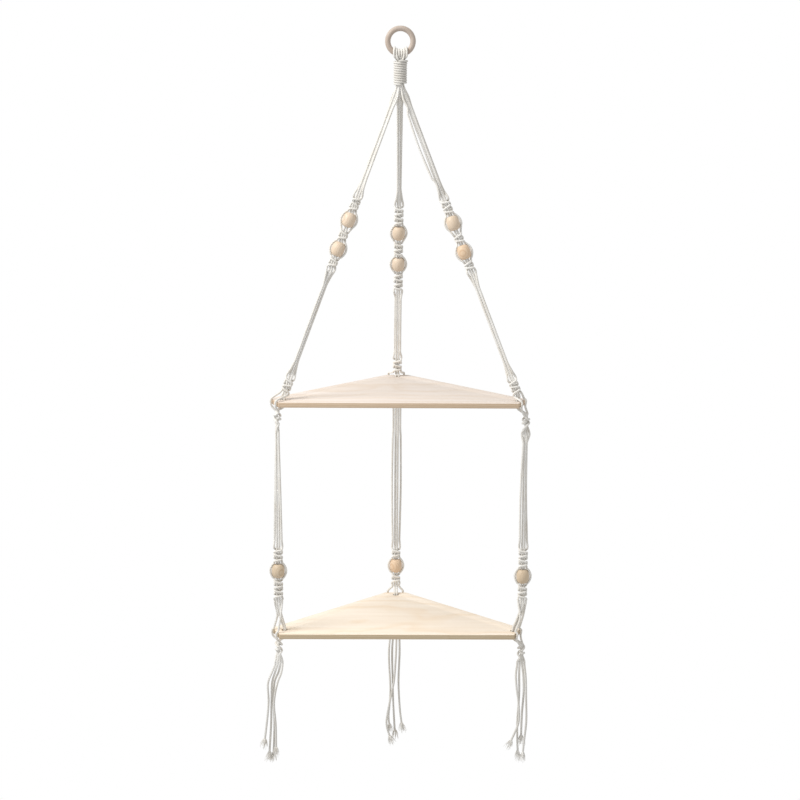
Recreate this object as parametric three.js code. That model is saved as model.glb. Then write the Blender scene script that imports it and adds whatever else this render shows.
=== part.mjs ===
// A hanging rope shelf: two triangular pine boards, one above the other, hung from a wooden ring by
// twelve runs of cotton cord. Square knots and wooden beads decorate the cords, a wrapped cord
// gathers them under the ring, and the loose ends hang as three tassels.
//
// Millimetres, +Z up. The origin is where a hook bears on the ring, inside its top. The ring lies in
// the XZ plane, the long front edge of each board faces -Y, and the apex of each board points to +Y.

import * as THREE from 'three';
import { mergeVertices } from 'three/addons/utils/BufferGeometryUtils.js';

// Driving dimensions of the ring
const RING_DIAMETER = 50;
const RING_SECTION = 9;

// Driving dimensions of the cord, the gap between cords that touch, and the play round other pieces
const CORD_DIAMETER = 3.8;
const CORD_GAP = 0.3;
const PIECE_GAP = 0.6;

// Driving dimensions of the boards, each a right-angled triangle with its three corners cut off
const SHELF_WIDTH = 425;
const SHELF_THICKNESS = 9;
const CORNER_FLAT = 38;
const CORD_HOLE = 10;
const EDGE_CHAMFER = 0.8;
const UPPER_SHELF_TOP = -598.7;
const SHELF_SPACING = 400.8;
const RING_SETBACK = 84.1;

// The boards aren't quite true: at the front corners the cords hang a little to the right of the
// middle of the flat, and the cord holes and the knots above them lie to match.
const LEFT_HOLE_INSET = 15.5;
const RIGHT_HOLE_INSET = 8;
const APEX_HOLE_INSET = 13;
const LEFT_HANG_SHIFT = 4.6;
const RIGHT_HANG_SHIFT = 6.5;
const LEFT_LEG_INSET = 13.7;
const RIGHT_LEG_INSET = 4.2;
const APEX_LEG_INSET = 8.9;

// Driving dimensions of a bead
const BEAD_DIAMETER = 22;
const BEAD_LENGTH = 24;

// Driving dimensions of the cord that is wrapped round the others under the ring
const WRAP_CORD = 3.2;
const WRAP_GAP = 0.6;
const WRAP_TURNS = 10;
const WRAP_FLARE_WIDTH = 1.5;
const WRAP_FLARE_TURNS = 1.5;
const WRAP_UNDER_BOW = 10.5;
const SQUEEZED_CORD = 3.3;

// Places of the knots and beads, as lengths of plain cord between them
const LEGS_UNDER_WRAP = 6.6;
const LEFT_BRIDLE_RUN = 189.9;
const RIGHT_BRIDLE_RUN = 195.7;
const APEX_BRIDLE_RUN = 208.1;
const BEAD_GAP = 5;
const FRONT_BEAD_SPACER = 8.5;
const APEX_BEAD_SPACER = 6.5;
const FRONT_KNOT_ABOVE_SHELF = 14.3;
const APEX_KNOT_ABOVE_SHELF = 10.7;
const KNOT_UNDER_SHELF = 22;
const RIGHT_KNOT_UNDER_SHELF = 27.5;
const TASSEL_TOP = 57;
const TAIL_BELOW_KNOT = 7;
const RIGHT_CORD_SLACK = 5.5;

// The cords bend at two levels when the lower board sways: the front ones this far under the upper
// board and over the lower one, and the apex ones over the lower one.
const FRONT_SWAY_TOP = 56;
const FRONT_SWAY_BOTTOM = 52.8;
const APEX_SWAY_BOTTOM = 13.3;
const BEND_GAP = 0.8;
const TASSEL_GAP = 0.95;
const SWING_ANGLE = 15;

// Counts of cords and facets
const FOLDED_CORDS = 6;
const CORD_SIDES = 5;
const WRAP_SIDES = 6;
const TASSEL_SIDES = 8;
const BOW_STEPS = 3;
const WRAP_STEPS = 20;
const BEAD_SIDES = 16;
const BEAD_STEPS = 6;
const RING_STEPS = 32;
const RING_SIDES = 10;
const HOLE_SEGMENTS = 4;

// A square knot, in shares of the pitch of two cords that lie side by side. Two cords run straight
// through it, and two cross them again and again, one always in front and one always behind.
const knotShares = {
  halfKnot: 2,
  barReach: 1.29,
  barEndDepth: 0.885,
  barDepth: 1.08,
  barRise: 0.15,
  turnReach: 1.53,
  turnRise: 0.3,
  entryReach: 1.7,
  entryRise: 1.45,
};

// Where the workers lie between two knots, in the same shares: loose, close or tight to the cores
const looseShares = { reach: 1.12, depth: 0.95 };
const closeShares = { reach: 0.85, depth: 0.97 };
const tightShares = { reach: 0.58, depth: 1 };

// How a slack cord hangs off its leg, as [share of the run's length, share of the greatest slack]
const slackShares = [[0.22, 0.6], [0.5, 1], [0.78, 0.65]];

// Where a cord passes a bead, in shares of the bead's diameter and length
const beadShares = { shoulderIn: 0.11, shoulderRise: 0.46, waistRise: 0.15 };

// How far a cord swings out over a board's edge, in shares of the room that it needs
const edgeShare = 1.35;

// Worked out from the driving dimensions
const CORD_RADIUS = CORD_DIAMETER / 2;
const PITCH = CORD_DIAMETER + CORD_GAP;
const RING_CENTRELINE = (RING_DIAMETER - RING_SECTION) / 2;
const RING_CENTRE_Z = -(RING_DIAMETER / 2 - RING_SECTION);
const BOW_Z = RING_CENTRE_Z - RING_CENTRELINE;
const BEAD_BORE = PITCH + CORD_DIAMETER + PIECE_GAP;
const DRAWN_IN = 4 * PITCH;
const HALF_KNOT = knotShares.halfKnot * PITCH;
const BAR_HALF_HEIGHT = knotShares.barRise * PITCH + CORD_RADIUS;
const LOWER_SHELF_TOP = UPPER_SHELF_TOP - SHELF_SPACING;
const SWAY_LENGTH = SHELF_SPACING - FRONT_SWAY_TOP - FRONT_SWAY_BOTTOM;
const APEX_SWAY_TOP = SHELF_SPACING - SWAY_LENGTH - APEX_SWAY_BOTTOM;

const model = new THREE.Group();

const cordMaterial = new THREE.MeshStandardMaterial({ color: 0xe4ded2, roughness: 0.95, metalness: 0 });
const pineMaterial = new THREE.MeshStandardMaterial({ color: 0xead9bd, roughness: 0.6, metalness: 0 });
const beadMaterial = new THREE.MeshStandardMaterial({ color: 0xd6b184, roughness: 0.5, metalness: 0 });
const ringMaterial = new THREE.MeshStandardMaterial({ color: 0xcbb29c, roughness: 0.5, metalness: 0 });

function addPiece(name, geometry, material, parent = model) {
  const piece = new THREE.Mesh(geometry, material);
  piece.name = name;
  parent.add(piece);
  return piece;
}

// Cords

/** A closed tube through points { at, radius }, with a ring of sides square to the cord at each. */
function cordGeometry(points, sides = CORD_SIDES) {
  const vertices = [];
  const triangles = [];
  const across = new THREE.Vector3();
  points.forEach(({ at, radius }, i) => {
    const before = points[Math.max(i - 1, 0)].at;
    const after = points[Math.min(i + 1, points.length - 1)].at;
    const arriving = at.clone().sub(before).normalize();
    const leaving = after.clone().sub(at).normalize();
    const along = arriving.add(leaving).normalize();
    if (i === 0) {
      across.set(1, 0, 0);
      if (Math.abs(along.x) > Math.SQRT1_2) across.set(0, 1, 0);
    }
    across.addScaledVector(along, -across.dot(along)).normalize();
    const other = new THREE.Vector3().crossVectors(along, across);
    for (let side = 0; side < sides; side += 1) {
      const angle = (2 * Math.PI * side) / sides;
      const rim = at.clone();
      rim.addScaledVector(across, radius * Math.cos(angle));
      rim.addScaledVector(other, radius * Math.sin(angle));
      vertices.push(rim.x, rim.y, rim.z);
    }
  });
  for (let i = 1; i < points.length; i += 1) {
    for (let side = 0; side < sides; side += 1) {
      const next = (side + 1) % sides;
      const a = (i - 1) * sides + side;
      const b = (i - 1) * sides + next;
      const c = i * sides + next;
      const d = i * sides + side;
      triangles.push(a, b, c, a, c, d);
    }
  }
  const last = (points.length - 1) * sides;
  for (let side = 1; side < sides - 1; side += 1) {
    triangles.push(0, side + 1, side);
    triangles.push(last, last + side, last + side + 1);
  }
  const geometry = new THREE.BufferGeometry();
  geometry.setAttribute('position', new THREE.Float32BufferAttribute(vertices, 3));
  geometry.setIndex(triangles);
  geometry.computeVertexNormals();
  return geometry;
}

function cordPoint(at, radius = CORD_RADIUS) {
  return { at, radius };
}

/** Four cords that run down together from `top` towards `bottom`: two cores and two workers. */
class Leg {
  constructor(top, bottom, frontSide) {
    this.top = top;
    this.length = top.distanceTo(bottom);
    this.down = bottom.clone().sub(top).normalize();
    this.right = new THREE.Vector3(1, 0, 0);
    this.right.addScaledVector(this.down, -this.right.dot(this.down)).normalize();
    this.back = new THREE.Vector3().crossVectors(this.right, this.down);
    this.reached = 0;
    this.side = { front: frontSide, back: -frontSide };
    this.cords = { left: [], right: [], front: [], back: [] };
    this.beads = [];
  }

  /** The place `across` to the right and `behind` the axis, `below` the top. */
  place(across, behind, below) {
    const at = this.top.clone();
    at.addScaledVector(this.right, across);
    at.addScaledVector(this.back, behind);
    at.addScaledVector(this.down, below);
    return at;
  }

  put(cord, across, behind, below) {
    this.cords[cord].push(cordPoint(this.place(across, behind, below)));
  }

  putCores(below) {
    this.put('left', -PITCH / 2, 0, below);
    this.put('right', PITCH / 2, 0, below);
  }

  /** The workers lie against the cores, one before them and one behind. */
  putDrawnWorkers(below, shares) {
    const reach = shares.reach * PITCH;
    const depth = shares.depth * PITCH;
    this.put('front', this.side.front * reach, -depth, below);
    this.put('back', this.side.back * reach, depth, below);
  }

  putSpreadWorkers(below, reach = knotShares.entryReach * PITCH) {
    this.put('front', this.side.front * reach, 0, below);
    this.put('back', this.side.back * reach, 0, below);
  }

  skip(length) {
    this.reached += length;
    return this;
  }

  skipTo(below) {
    this.reached = below;
    return this;
  }

  /** All four cords lie side by side and run straight down between two levels. */
  putStraight(from, to) {
    for (const below of [from, to]) {
      this.putCores(below);
      this.putSpreadWorkers(below);
    }
  }

  /** Cord runs as far as `below`, drawn in near both ends, with the front worker slack or not. */
  run(below, start = closeShares, end = start, slack = 0) {
    this.putDrawnWorkers(this.reached + DRAWN_IN, looseShares);
    if (start !== looseShares) this.putDrawnWorkers(this.reached + 2 * DRAWN_IN, start);
    if (slack > 0) {
      const length = below - this.reached;
      for (const [placeShare, share] of slackShares) {
        const across = this.side.front * (closeShares.reach * PITCH + share * slack);
        this.put('front', across, -closeShares.depth * PITCH, this.reached + placeShare * length);
      }
    }
    if (end !== looseShares) this.putDrawnWorkers(below - 2 * DRAWN_IN, end);
    this.putDrawnWorkers(below - DRAWN_IN, looseShares);
    this.reached = below;
    return this;
  }

  knot(halfKnots) {
    const first = this.reached + BAR_HALF_HEIGHT;
    const entry = knotShares.entryRise * PITCH;
    this.putSpreadWorkers(first - entry);
    for (let i = 0; i < halfKnots; i += 1) {
      const bar = first + i * HALF_KNOT;
      this.crossBar('front', -1, bar, i < halfKnots - 1);
      this.crossBar('back', 1, bar, i < halfKnots - 1);
    }
    const lastBar = first + (halfKnots - 1) * HALF_KNOT;
    this.putSpreadWorkers(lastBar + entry);
    this.reached = lastBar + BAR_HALF_HEIGHT;
    return this;
  }

  crossBar(cord, behind, bar, turns) {
    const side = this.side[cord];
    const reach = side * knotShares.barReach * PITCH;
    const endDepth = behind * knotShares.barEndDepth * PITCH;
    const rise = knotShares.barRise * PITCH;
    this.put(cord, reach, endDepth, bar - rise);
    this.put(cord, 0, behind * knotShares.barDepth * PITCH, bar);
    this.put(cord, -reach, endDepth, bar + rise);
    if (turns) {
      const turn = -side * knotShares.turnReach * PITCH;
      const turnRise = knotShares.turnRise * PITCH;
      this.put(cord, turn, 0, bar + HALF_KNOT / 2 - turnRise);
      this.put(cord, turn, 0, bar + HALF_KNOT / 2 + turnRise);
    }
    this.side[cord] = -side;
  }

  /** A bead on the two cores, with the workers led round its sides. */
  bead(name) {
    const centre = this.reached + BEAD_LENGTH / 2;
    const waist = BEAD_DIAMETER / 2 + CORD_RADIUS + PIECE_GAP;
    const shoulder = waist - beadShares.shoulderIn * BEAD_DIAMETER;
    const shoulderRise = beadShares.shoulderRise * BEAD_LENGTH;
    const waistRise = beadShares.waistRise * BEAD_LENGTH;
    this.putSpreadWorkers(centre - shoulderRise, shoulder);
    this.putSpreadWorkers(centre - waistRise, waist);
    this.putSpreadWorkers(centre + waistRise, waist);
    this.putSpreadWorkers(centre + shoulderRise, shoulder);
    this.beads.push({ name, at: this.place(0, 0, centre), down: this.down });
    this.reached += BEAD_LENGTH;
    return this;
  }
}

// The ring

function makeRing() {
  const geometry = new THREE.TorusGeometry(RING_CENTRELINE, RING_SECTION / 2, RING_SIDES, RING_STEPS);
  const ring = addPiece('wooden_ring', geometry, ringMaterial);
  ring.rotation.x = Math.PI / 2;
  ring.position.z = RING_CENTRE_Z;
}

// The boards

const FRONT_ANGLE = Math.PI / 4;
const CORNER_ANGLE = (Math.PI - FRONT_ANGLE) / 2;
const CORNER_CUT = CORNER_FLAT / (2 * Math.sin(FRONT_ANGLE / 2));
const HALF_SHARP = SHELF_WIDTH / 2 + CORNER_CUT * Math.SQRT1_2;
const APEX_Y = HALF_SHARP - CORNER_FLAT / 2 - RING_SETBACK;

/**
 * Where the cords pass a corner: the middle of its flat, which way it faces, its cord hole, and where
 * the cords hang under it. The leg above it aims at a point `legInset` in from the flat.
 */
function makeCorner(flat, outward, right, holeInset, legInset, hangShift = 0) {
  const hole = flat.clone().addScaledVector(outward, -holeInset);
  const aim = flat.clone().addScaledVector(outward, -legInset);
  const hang = flat.clone();
  hang.x += hangShift;
  return { flat, outward, right, hole, aim, hang };
}

function frontCorner(hand, holeInset, legInset, hangShift) {
  const x = HALF_SHARP - CORNER_CUT * (1 + Math.SQRT1_2) / 2;
  const y = CORNER_CUT * Math.SQRT1_2 / 2 - RING_SETBACK;
  const flat = new THREE.Vector3(hand * x, y, 0);
  const outward = new THREE.Vector3(hand * Math.sin(CORNER_ANGLE), -Math.cos(CORNER_ANGLE), 0);
  const right = new THREE.Vector3(Math.cos(CORNER_ANGLE), hand * Math.sin(CORNER_ANGLE), 0);
  return makeCorner(flat, outward, right, holeInset, legInset, hangShift);
}

const corners = {
  left: frontCorner(-1, LEFT_HOLE_INSET, LEFT_LEG_INSET, LEFT_HANG_SHIFT),
  right: frontCorner(1, RIGHT_HOLE_INSET, RIGHT_LEG_INSET, RIGHT_HANG_SHIFT),
  apex: makeCorner(
    new THREE.Vector3(0, APEX_Y, 0),
    new THREE.Vector3(0, 1, 0),
    new THREE.Vector3(1, 0, 0),
    APEX_HOLE_INSET,
    APEX_LEG_INSET,
  ),
};

function shelfGeometry() {
  const front = -RING_SETBACK;
  const frontEnd = HALF_SHARP - CORNER_CUT;
  const sideEnd = HALF_SHARP - CORNER_CUT * Math.SQRT1_2;
  const sideY = front + CORNER_CUT * Math.SQRT1_2;
  const outline = new THREE.Shape();
  outline.moveTo(-frontEnd, front);
  outline.lineTo(frontEnd, front);
  outline.lineTo(sideEnd, sideY);
  outline.lineTo(CORNER_FLAT / 2, APEX_Y);
  outline.lineTo(-CORNER_FLAT / 2, APEX_Y);
  outline.lineTo(-sideEnd, sideY);
  outline.closePath();
  for (const { hole } of Object.values(corners)) {
    const rim = new THREE.Path();
    rim.absarc(hole.x, hole.y, CORD_HOLE / 2, 0, 2 * Math.PI, true);
    outline.holes.push(rim);
  }
  const geometry = new THREE.ExtrudeGeometry(outline, {
    depth: SHELF_THICKNESS - 2 * EDGE_CHAMFER,
    curveSegments: 4 * HOLE_SEGMENTS,
    bevelThickness: EDGE_CHAMFER,
    bevelSize: EDGE_CHAMFER,
    bevelOffset: -EDGE_CHAMFER,
    bevelSegments: 1,
  });
  geometry.translate(0, 0, EDGE_CHAMFER - SHELF_THICKNESS);
  return geometry;
}

function makeShelves() {
  addPiece('upper_shelf', shelfGeometry(), pineMaterial).position.z = UPPER_SHELF_TOP;
  addPiece('lower_shelf', shelfGeometry(), pineMaterial).position.z = LOWER_SHELF_TOP;
}

// The beads

/** A barrel-shaped bead on the Y axis, with a wide bore. */
function beadGeometry() {
  const bore = BEAD_BORE / 2;
  const profile = [];
  for (let i = 0; i <= BEAD_STEPS; i += 1) {
    const angle = (Math.PI * i) / BEAD_STEPS;
    const swell = (BEAD_DIAMETER / 2 - bore) * Math.sin(angle);
    profile.push(new THREE.Vector2(bore + swell, (-BEAD_LENGTH / 2) * Math.cos(angle)));
  }
  profile.push(profile[0].clone());
  const lathe = new THREE.LatheGeometry(profile, BEAD_SIDES);
  lathe.deleteAttribute('normal');
  lathe.deleteAttribute('uv');
  const geometry = mergeVertices(lathe);
  geometry.computeVertexNormals();
  return geometry;
}

function makeBeads(leg) {
  const down = new THREE.Vector3(0, -1, 0);
  for (const { name, at, down: along } of leg.beads) {
    const bead = addPiece(name, beadGeometry(), beadMaterial);
    bead.position.copy(at);
    bead.quaternion.setFromUnitVectors(down, along);
  }
}

// The wrapped cord that gathers the others under the ring

// The twelve runs of cord inside it lie in a square grid, and this is an outermost one's place.
const outermostShares = [1.5, 0.5];
const SQUEEZED_PITCH = SQUEEZED_CORD + CORD_GAP;
const BUNDLE_RADIUS = Math.hypot(...outermostShares) * SQUEEZED_PITCH + SQUEEZED_CORD / 2;
const WRAP_RADIUS = BUNDLE_RADIUS + CORD_GAP + WRAP_CORD / 2;
const WRAP_PITCH = WRAP_CORD + WRAP_GAP;
const WRAP_TOP = BOW_Z - WRAP_UNDER_BOW;
const WRAP_BOTTOM = WRAP_TOP - WRAP_TURNS * WRAP_PITCH;
const LEG_TOP = WRAP_BOTTOM - LEGS_UNDER_WRAP;

function wrapPlace(turn) {
  const angle = 2 * Math.PI * turn;
  const flare = WRAP_FLARE_WIDTH * Math.max(0, 1 - turn / WRAP_FLARE_TURNS);
  const radius = WRAP_RADIUS + flare;
  const x = radius * Math.sin(angle);
  const y = -radius * Math.cos(angle);
  return new THREE.Vector3(x, y, WRAP_TOP - turn * WRAP_PITCH);
}

function makeWrap() {
  const points = [];
  for (let i = 0; i <= WRAP_TURNS * WRAP_STEPS; i += 1) {
    points.push(cordPoint(wrapPlace(i / WRAP_STEPS), WRAP_CORD / 2));
  }
  const straight = new THREE.Vector3(1, 0, -WRAP_PITCH / (2 * Math.PI * WRAP_RADIUS));
  straight.setLength(WRAP_CORD);
  points.unshift(cordPoint(points[0].at.clone().sub(straight), WRAP_CORD / 2));
  points.push(cordPoint(points[points.length - 1].at.clone().add(straight), WRAP_CORD / 2));
  addPiece('gathering_wrap', cordGeometry(points, WRAP_SIDES), cordMaterial);
  console.log('gathering_wrap: least gap to itself', leastSelfGap(points).toFixed(2), 'mm');
}

/** The least gap between two places of one cord that lie over half a turn apart. */
function leastSelfGap(points) {
  let least = Infinity;
  for (let i = 0; i < points.length; i += 1) {
    for (let j = i + WRAP_STEPS / 2; j < points.length; j += 1) {
      const distance = points[i].at.distanceTo(points[j].at);
      least = Math.min(least, distance - points[i].radius - points[j].radius);
    }
  }
  return least;
}

// The cords from the ring to the upper board

/**
 * The way of the three front cords left of the middle, from beside the ring's bow down to the wrap,
 * as [x, y, height over the bow, radius], chosen by hand. Each ends at its place in the wrap's grid.
 */
const approaches = [
  {
    gridShares: [-1.5, -0.5],
    way: [[-10.0, -7.4, -3.0, 1.9], [-7.6, -4.6, -6.7, 1.65], [-5.6, -2.2, -9.3, 1.65]],
  },
  {
    gridShares: [-0.5, -1.5],
    way: [[-5.4, -7.8, -4.5, 1.8], [-4.6, -7.6, -6.7, 1.65], [-2.9, -6.6, -9.3, 1.65]],
  },
  {
    gridShares: [-0.5, -0.5],
    way: [[-2.0, -5.7, -4.7, 1.75], [-1.8, -2.8, -7.7, 1.65], [-1.8, -1.9, -9.3, 1.65]],
  },
];

/**
 * The half of a cord's loop over the ring's bow that ends at its top. The cords lie side by side both
 * outside the ring, `x` from the middle, and inside it, where they lie along its curve.
 */
function overTheBow(x, facing) {
  const inside = RING_CENTRELINE - RING_SECTION / 2 - CORD_RADIUS - PIECE_GAP;
  const outerAngle = Math.asin(x / RING_CENTRELINE);
  const innerAngle = x / inside;
  const drop = RING_CENTRELINE * (1 - Math.cos(outerAngle));
  const swing = drop * Math.tan(THREE.MathUtils.degToRad(SWING_ANGLE));
  const reach = RING_SECTION / 2 + CORD_RADIUS + PIECE_GAP + CORD_GAP + swing;
  const points = [];
  for (let i = 0; i <= BOW_STEPS; i += 1) {
    const turn = (Math.PI / 2) * (i / BOW_STEPS);
    const angle = THREE.MathUtils.lerp(outerAngle, innerAngle, Math.sin(turn));
    const fromCentre = THREE.MathUtils.lerp(RING_CENTRELINE, inside, Math.sin(turn));
    const z = RING_CENTRE_Z - fromCentre * Math.cos(angle);
    const y = facing * reach * Math.cos(turn);
    points.push(cordPoint(new THREE.Vector3(fromCentre * Math.sin(angle), y, z)));
  }
  return points;
}

/** The way of cord 1 to 6, front or back, from the wrap up to the top of its loop over the ring. */
function collarWay(number, facing) {
  const mirrored = number > FOLDED_CORDS / 2;
  const approach = approaches[mirrored ? FOLDED_CORDS - number : number - 1];
  const place = (x, y, z, radius) => {
    return cordPoint(new THREE.Vector3(mirrored ? -x : x, -facing * y, z), radius);
  };
  const [column, row] = approach.gridShares;
  const x = column * SQUEEZED_PITCH;
  const y = row * SQUEEZED_PITCH;
  const inside = [WRAP_BOTTOM - WRAP_CORD / 2, WRAP_TOP - WRAP_PITCH / 2];
  const points = inside.map((z) => place(x, y, z, SQUEEZED_CORD / 2));
  for (const [stepX, stepY, height, radius] of [...approach.way].reverse()) {
    points.push(place(stepX, stepY, BOW_Z + height, radius));
  }
  const fromMiddle = (number - (FOLDED_CORDS + 1) / 2) * PITCH;
  return [...points, ...overTheBow(fromMiddle, facing)];
}

/** The middle of each bridle's four runs in the wrap's grid. */
const bridleShares = { left: [-1, -0.5], right: [1, -0.5], apex: [0, 1] };

function bridleTop(corner) {
  const [column, row] = bridleShares[corner];
  return new THREE.Vector3(column * SQUEEZED_PITCH, row * SQUEEZED_PITCH, LEG_TOP);
}

function bridleBottom(corner) {
  return corners[corner].aim.clone().setZ(UPPER_SHELF_TOP);
}

function frontBridle(corner, run, frontSide, slack) {
  const leg = new Leg(bridleTop(corner), bridleBottom(corner), frontSide);
  leg.putCores(DRAWN_IN);
  leg.run(run, closeShares, closeShares, slack).knot(3);
  leg.skip(BEAD_GAP).bead(`upper_bead_${corner}`).skip(FRONT_BEAD_SPACER);
  leg.knot(2).skip(BEAD_GAP).bead(`middle_bead_${corner}`).skip(BEAD_GAP).knot(2);
  leg.run(leg.length - FRONT_KNOT_ABOVE_SHELF - knotLength(3), tightShares).knot(3);
  return leg;
}

function apexBridle() {
  const leg = new Leg(bridleTop('apex'), bridleBottom('apex'), -1);
  leg.putCores(DRAWN_IN);
  leg.run(APEX_BRIDLE_RUN, closeShares, tightShares).knot(4);
  leg.skip(BEAD_GAP).bead('upper_bead_apex').skip(APEX_BEAD_SPACER);
  leg.knot(3).skip(BEAD_GAP).bead('middle_bead_apex').skip(BEAD_GAP).knot(4);
  leg.run(leg.length - APEX_KNOT_ABOVE_SHELF - knotLength(3), looseShares).knot(3);
  return leg;
}

function knotLength(halfKnots) {
  return (halfKnots - 1) * HALF_KNOT + 2 * BAR_HALF_HEIGHT;
}

// The cords at a corner of a board: two through the hole, two round the outside, knotted below.

/**
 * Leads the four cords of `leg` past the corner and into a square knot under it, and then straight
 * down to `bottom`. The knot's frame is turned with the corner, and turns back below the knot.
 */
function fixToCorner(leg, corner, shelfTop, workerPlaces, coreSteps, bottom) {
  const { flat, outward, right, hole, hang } = corners[corner];
  const at = (across, out, z, from = flat) => {
    const place = from.clone().addScaledVector(right, across).addScaledVector(outward, out);
    place.z = shelfTop + z;
    return cordPoint(place);
  };
  const inward = hole.clone().sub(hang);
  const turned = Math.atan2(right.y, right.x);
  for (const { z, inwardShare, turnShare, spreadShare } of coreSteps) {
    const half = spreadShare * (PITCH / 2);
    for (const [cord, side] of [['left', -half], ['right', half]]) {
      const place = hang.clone().addScaledVector(inward, inwardShare);
      place.x += side * Math.cos(turnShare * turned);
      place.y += side * Math.sin(turnShare * turned);
      place.z = shelfTop + z;
      leg.cords[cord].push(cordPoint(place));
    }
  }
  const clear = CORD_RADIUS + PIECE_GAP;
  for (const cord of ['front', 'back']) {
    const across = workerPlaces[cord];
    if (workerPlaces.waypoint) {
      leg.cords[cord].push(at(workerPlaces.waypointShare * across, 0, workerPlaces.waypoint, hang));
    }
    leg.cords[cord].push(at(across, 0, edgeShare * clear));
    leg.cords[cord].push(at(across, edgeShare * clear, 0));
    leg.cords[cord].push(at(across, clear, -SHELF_THICKNESS - clear / 2));
  }
  const knotTop = hang.clone().setZ(shelfTop);
  const under = knotTop.clone().setZ(shelfTop - SHELF_THICKNESS);
  const below = new Leg(knotTop, under, Math.sign(workerPlaces.front));
  below.right.copy(right);
  below.back.crossVectors(below.right, below.down);
  below.cords = leg.cords;
  const knotUnder = corner === 'right' ? RIGHT_KNOT_UNDER_SHELF : KNOT_UNDER_SHELF;
  below.putCores(knotUnder - PITCH);
  below.skipTo(knotUnder).knot(2);
  below.putCores(below.reached + PITCH);
  const halfTurned = turned / 2;
  const middle = (below.reached + PITCH + bottom) / 2;
  below.right.set(Math.cos(halfTurned), Math.sin(halfTurned), 0);
  below.back.crossVectors(below.right, below.down);
  below.putCores(middle);
  below.putSpreadWorkers(middle);
  below.right.set(1, 0, 0);
  below.back.crossVectors(below.right, below.down);
  below.putStraight(bottom - CORD_RADIUS, bottom);
  return below;
}

// Where the two outer cords pass each corner, across its flat, and where the lower ones bend on the
// way there.
const upperCornerWorkers = {
  left: { front: 12, back: -8 },
  right: { front: -12, back: 8 },
  apex: { front: -15, back: 12 },
};
const lowerCornerWorkers = {
  left: { front: -9, back: 12, waypoint: 26, waypointShare: 0.75 },
  right: { front: 9, back: -12, waypoint: 26, waypointShare: 0.75 },
  apex: { front: -14, back: 13 },
};

// The way of the two cords through a hole: their height, how far in they are from the leg to the
// hole, how far the pair has turned with the corner, and how far apart they lie.
const upperCoreSteps = [
  { z: 3, inwardShare: 1, turnShare: 0.5, spreadShare: 1.25 },
  { z: -12, inwardShare: 1, turnShare: 1, spreadShare: 1 },
];
const lowerCoreSteps = [
  { z: 38, inwardShare: 0.08, turnShare: 0.1, spreadShare: 1.04 },
  { z: 20, inwardShare: 0.5, turnShare: 0.45, spreadShare: 1.12 },
  { z: 4, inwardShare: 0.97, turnShare: 0.74, spreadShare: 1.12 },
  { z: -12, inwardShare: 1, turnShare: 1, spreadShare: 1 },
];
const lowerApexCoreSteps = [
  { z: 4.5, inwardShare: 0.92, turnShare: 0, spreadShare: 1 },
  { z: 0, inwardShare: 1, turnShare: 0, spreadShare: 1 },
  { z: -12, inwardShare: 1, turnShare: 0, spreadShare: 1 },
];

/** Which run of which folded cord each place in a bridle takes. */
const bridleCords = {
  left: { left: 'cord 1 front', right: 'cord 3 front', front: 'cord 2 front', back: 'cord 1 back' },
  right: { left: 'cord 4 front', right: 'cord 6 front', front: 'cord 5 front', back: 'cord 6 back' },
  apex: { left: 'cord 2 back', right: 'cord 4 back', front: 'cord 3 back', back: 'cord 5 back' },
};

function makeBridles() {
  const bridles = {
    left: frontBridle('left', LEFT_BRIDLE_RUN, 1, 0),
    right: frontBridle('right', RIGHT_BRIDLE_RUN, -1, RIGHT_CORD_SLACK),
    apex: apexBridle(),
  };
  const runs = {};
  for (const [corner, leg] of Object.entries(bridles)) {
    leg.putCores(leg.reached + knotShares.entryRise * PITCH);
    const swayTop = corner === 'apex' ? APEX_SWAY_TOP : FRONT_SWAY_TOP;
    const bottom = swayTop - BEND_GAP / 2;
    fixToCorner(leg, corner, UPPER_SHELF_TOP, upperCornerWorkers[corner], upperCoreSteps, bottom);
    for (const [place, run] of Object.entries(bridleCords[corner])) {
      runs[run] = leg.cords[place];
    }
    makeBeads(leg);
  }
  for (let number = 1; number <= FOLDED_CORDS; number += 1) {
    const up = [...runs[`cord ${number} front`]].reverse();
    const over = collarWay(number, -1);
    const down = collarWay(number, 1).slice(0, -1).reverse();
    const points = [...up, ...over, ...down, ...runs[`cord ${number} back`]];
    addPiece(`folded_cord_${number}`, cordGeometry(points), cordMaterial);
  }
}

// The cords between the boards

function lowerLeg(corner, swayTop, frontSide) {
  const top = corners[corner].hang.clone().setZ(UPPER_SHELF_TOP - swayTop - BEND_GAP / 2);
  const bottom = top.clone().setZ(UPPER_SHELF_TOP - swayTop - SWAY_LENGTH + BEND_GAP / 2);
  const leg = new Leg(top, bottom, frontSide);
  leg.putStraight(0, CORD_RADIUS);
  return leg;
}

function finishLowerLeg(leg, corner) {
  leg.putStraight(leg.length - CORD_RADIUS, leg.length);
  for (const [place, points] of Object.entries(leg.cords)) {
    addPiece(`lower_leg_${corner}_${place}`, cordGeometry(points), cordMaterial);
  }
  makeBeads(leg);
}

function makeLowerLegs() {
  makeLowerLeg('left', lowerLeg('left', FRONT_SWAY_TOP, 1), 3, 4);
  makeLowerLeg('right', lowerLeg('right', FRONT_SWAY_TOP, -1), 4, 3);
  makeLowerLeg('apex', lowerLeg('apex', APEX_SWAY_TOP, -1), 2, 2);
}

/** A leg's knots, of so many half knots each, above and below its bead. */
function makeLowerLeg(corner, leg, above, below) {
  const fittings = knotLength(above) + 2 * BEAD_GAP + BEAD_LENGTH + knotLength(below);
  leg.run(leg.length - TAIL_BELOW_KNOT - fittings, tightShares, looseShares).knot(above);
  leg.skip(BEAD_GAP).bead(`lower_bead_${corner}`).skip(BEAD_GAP).knot(below);
  finishLowerLeg(leg, corner);
}

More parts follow.
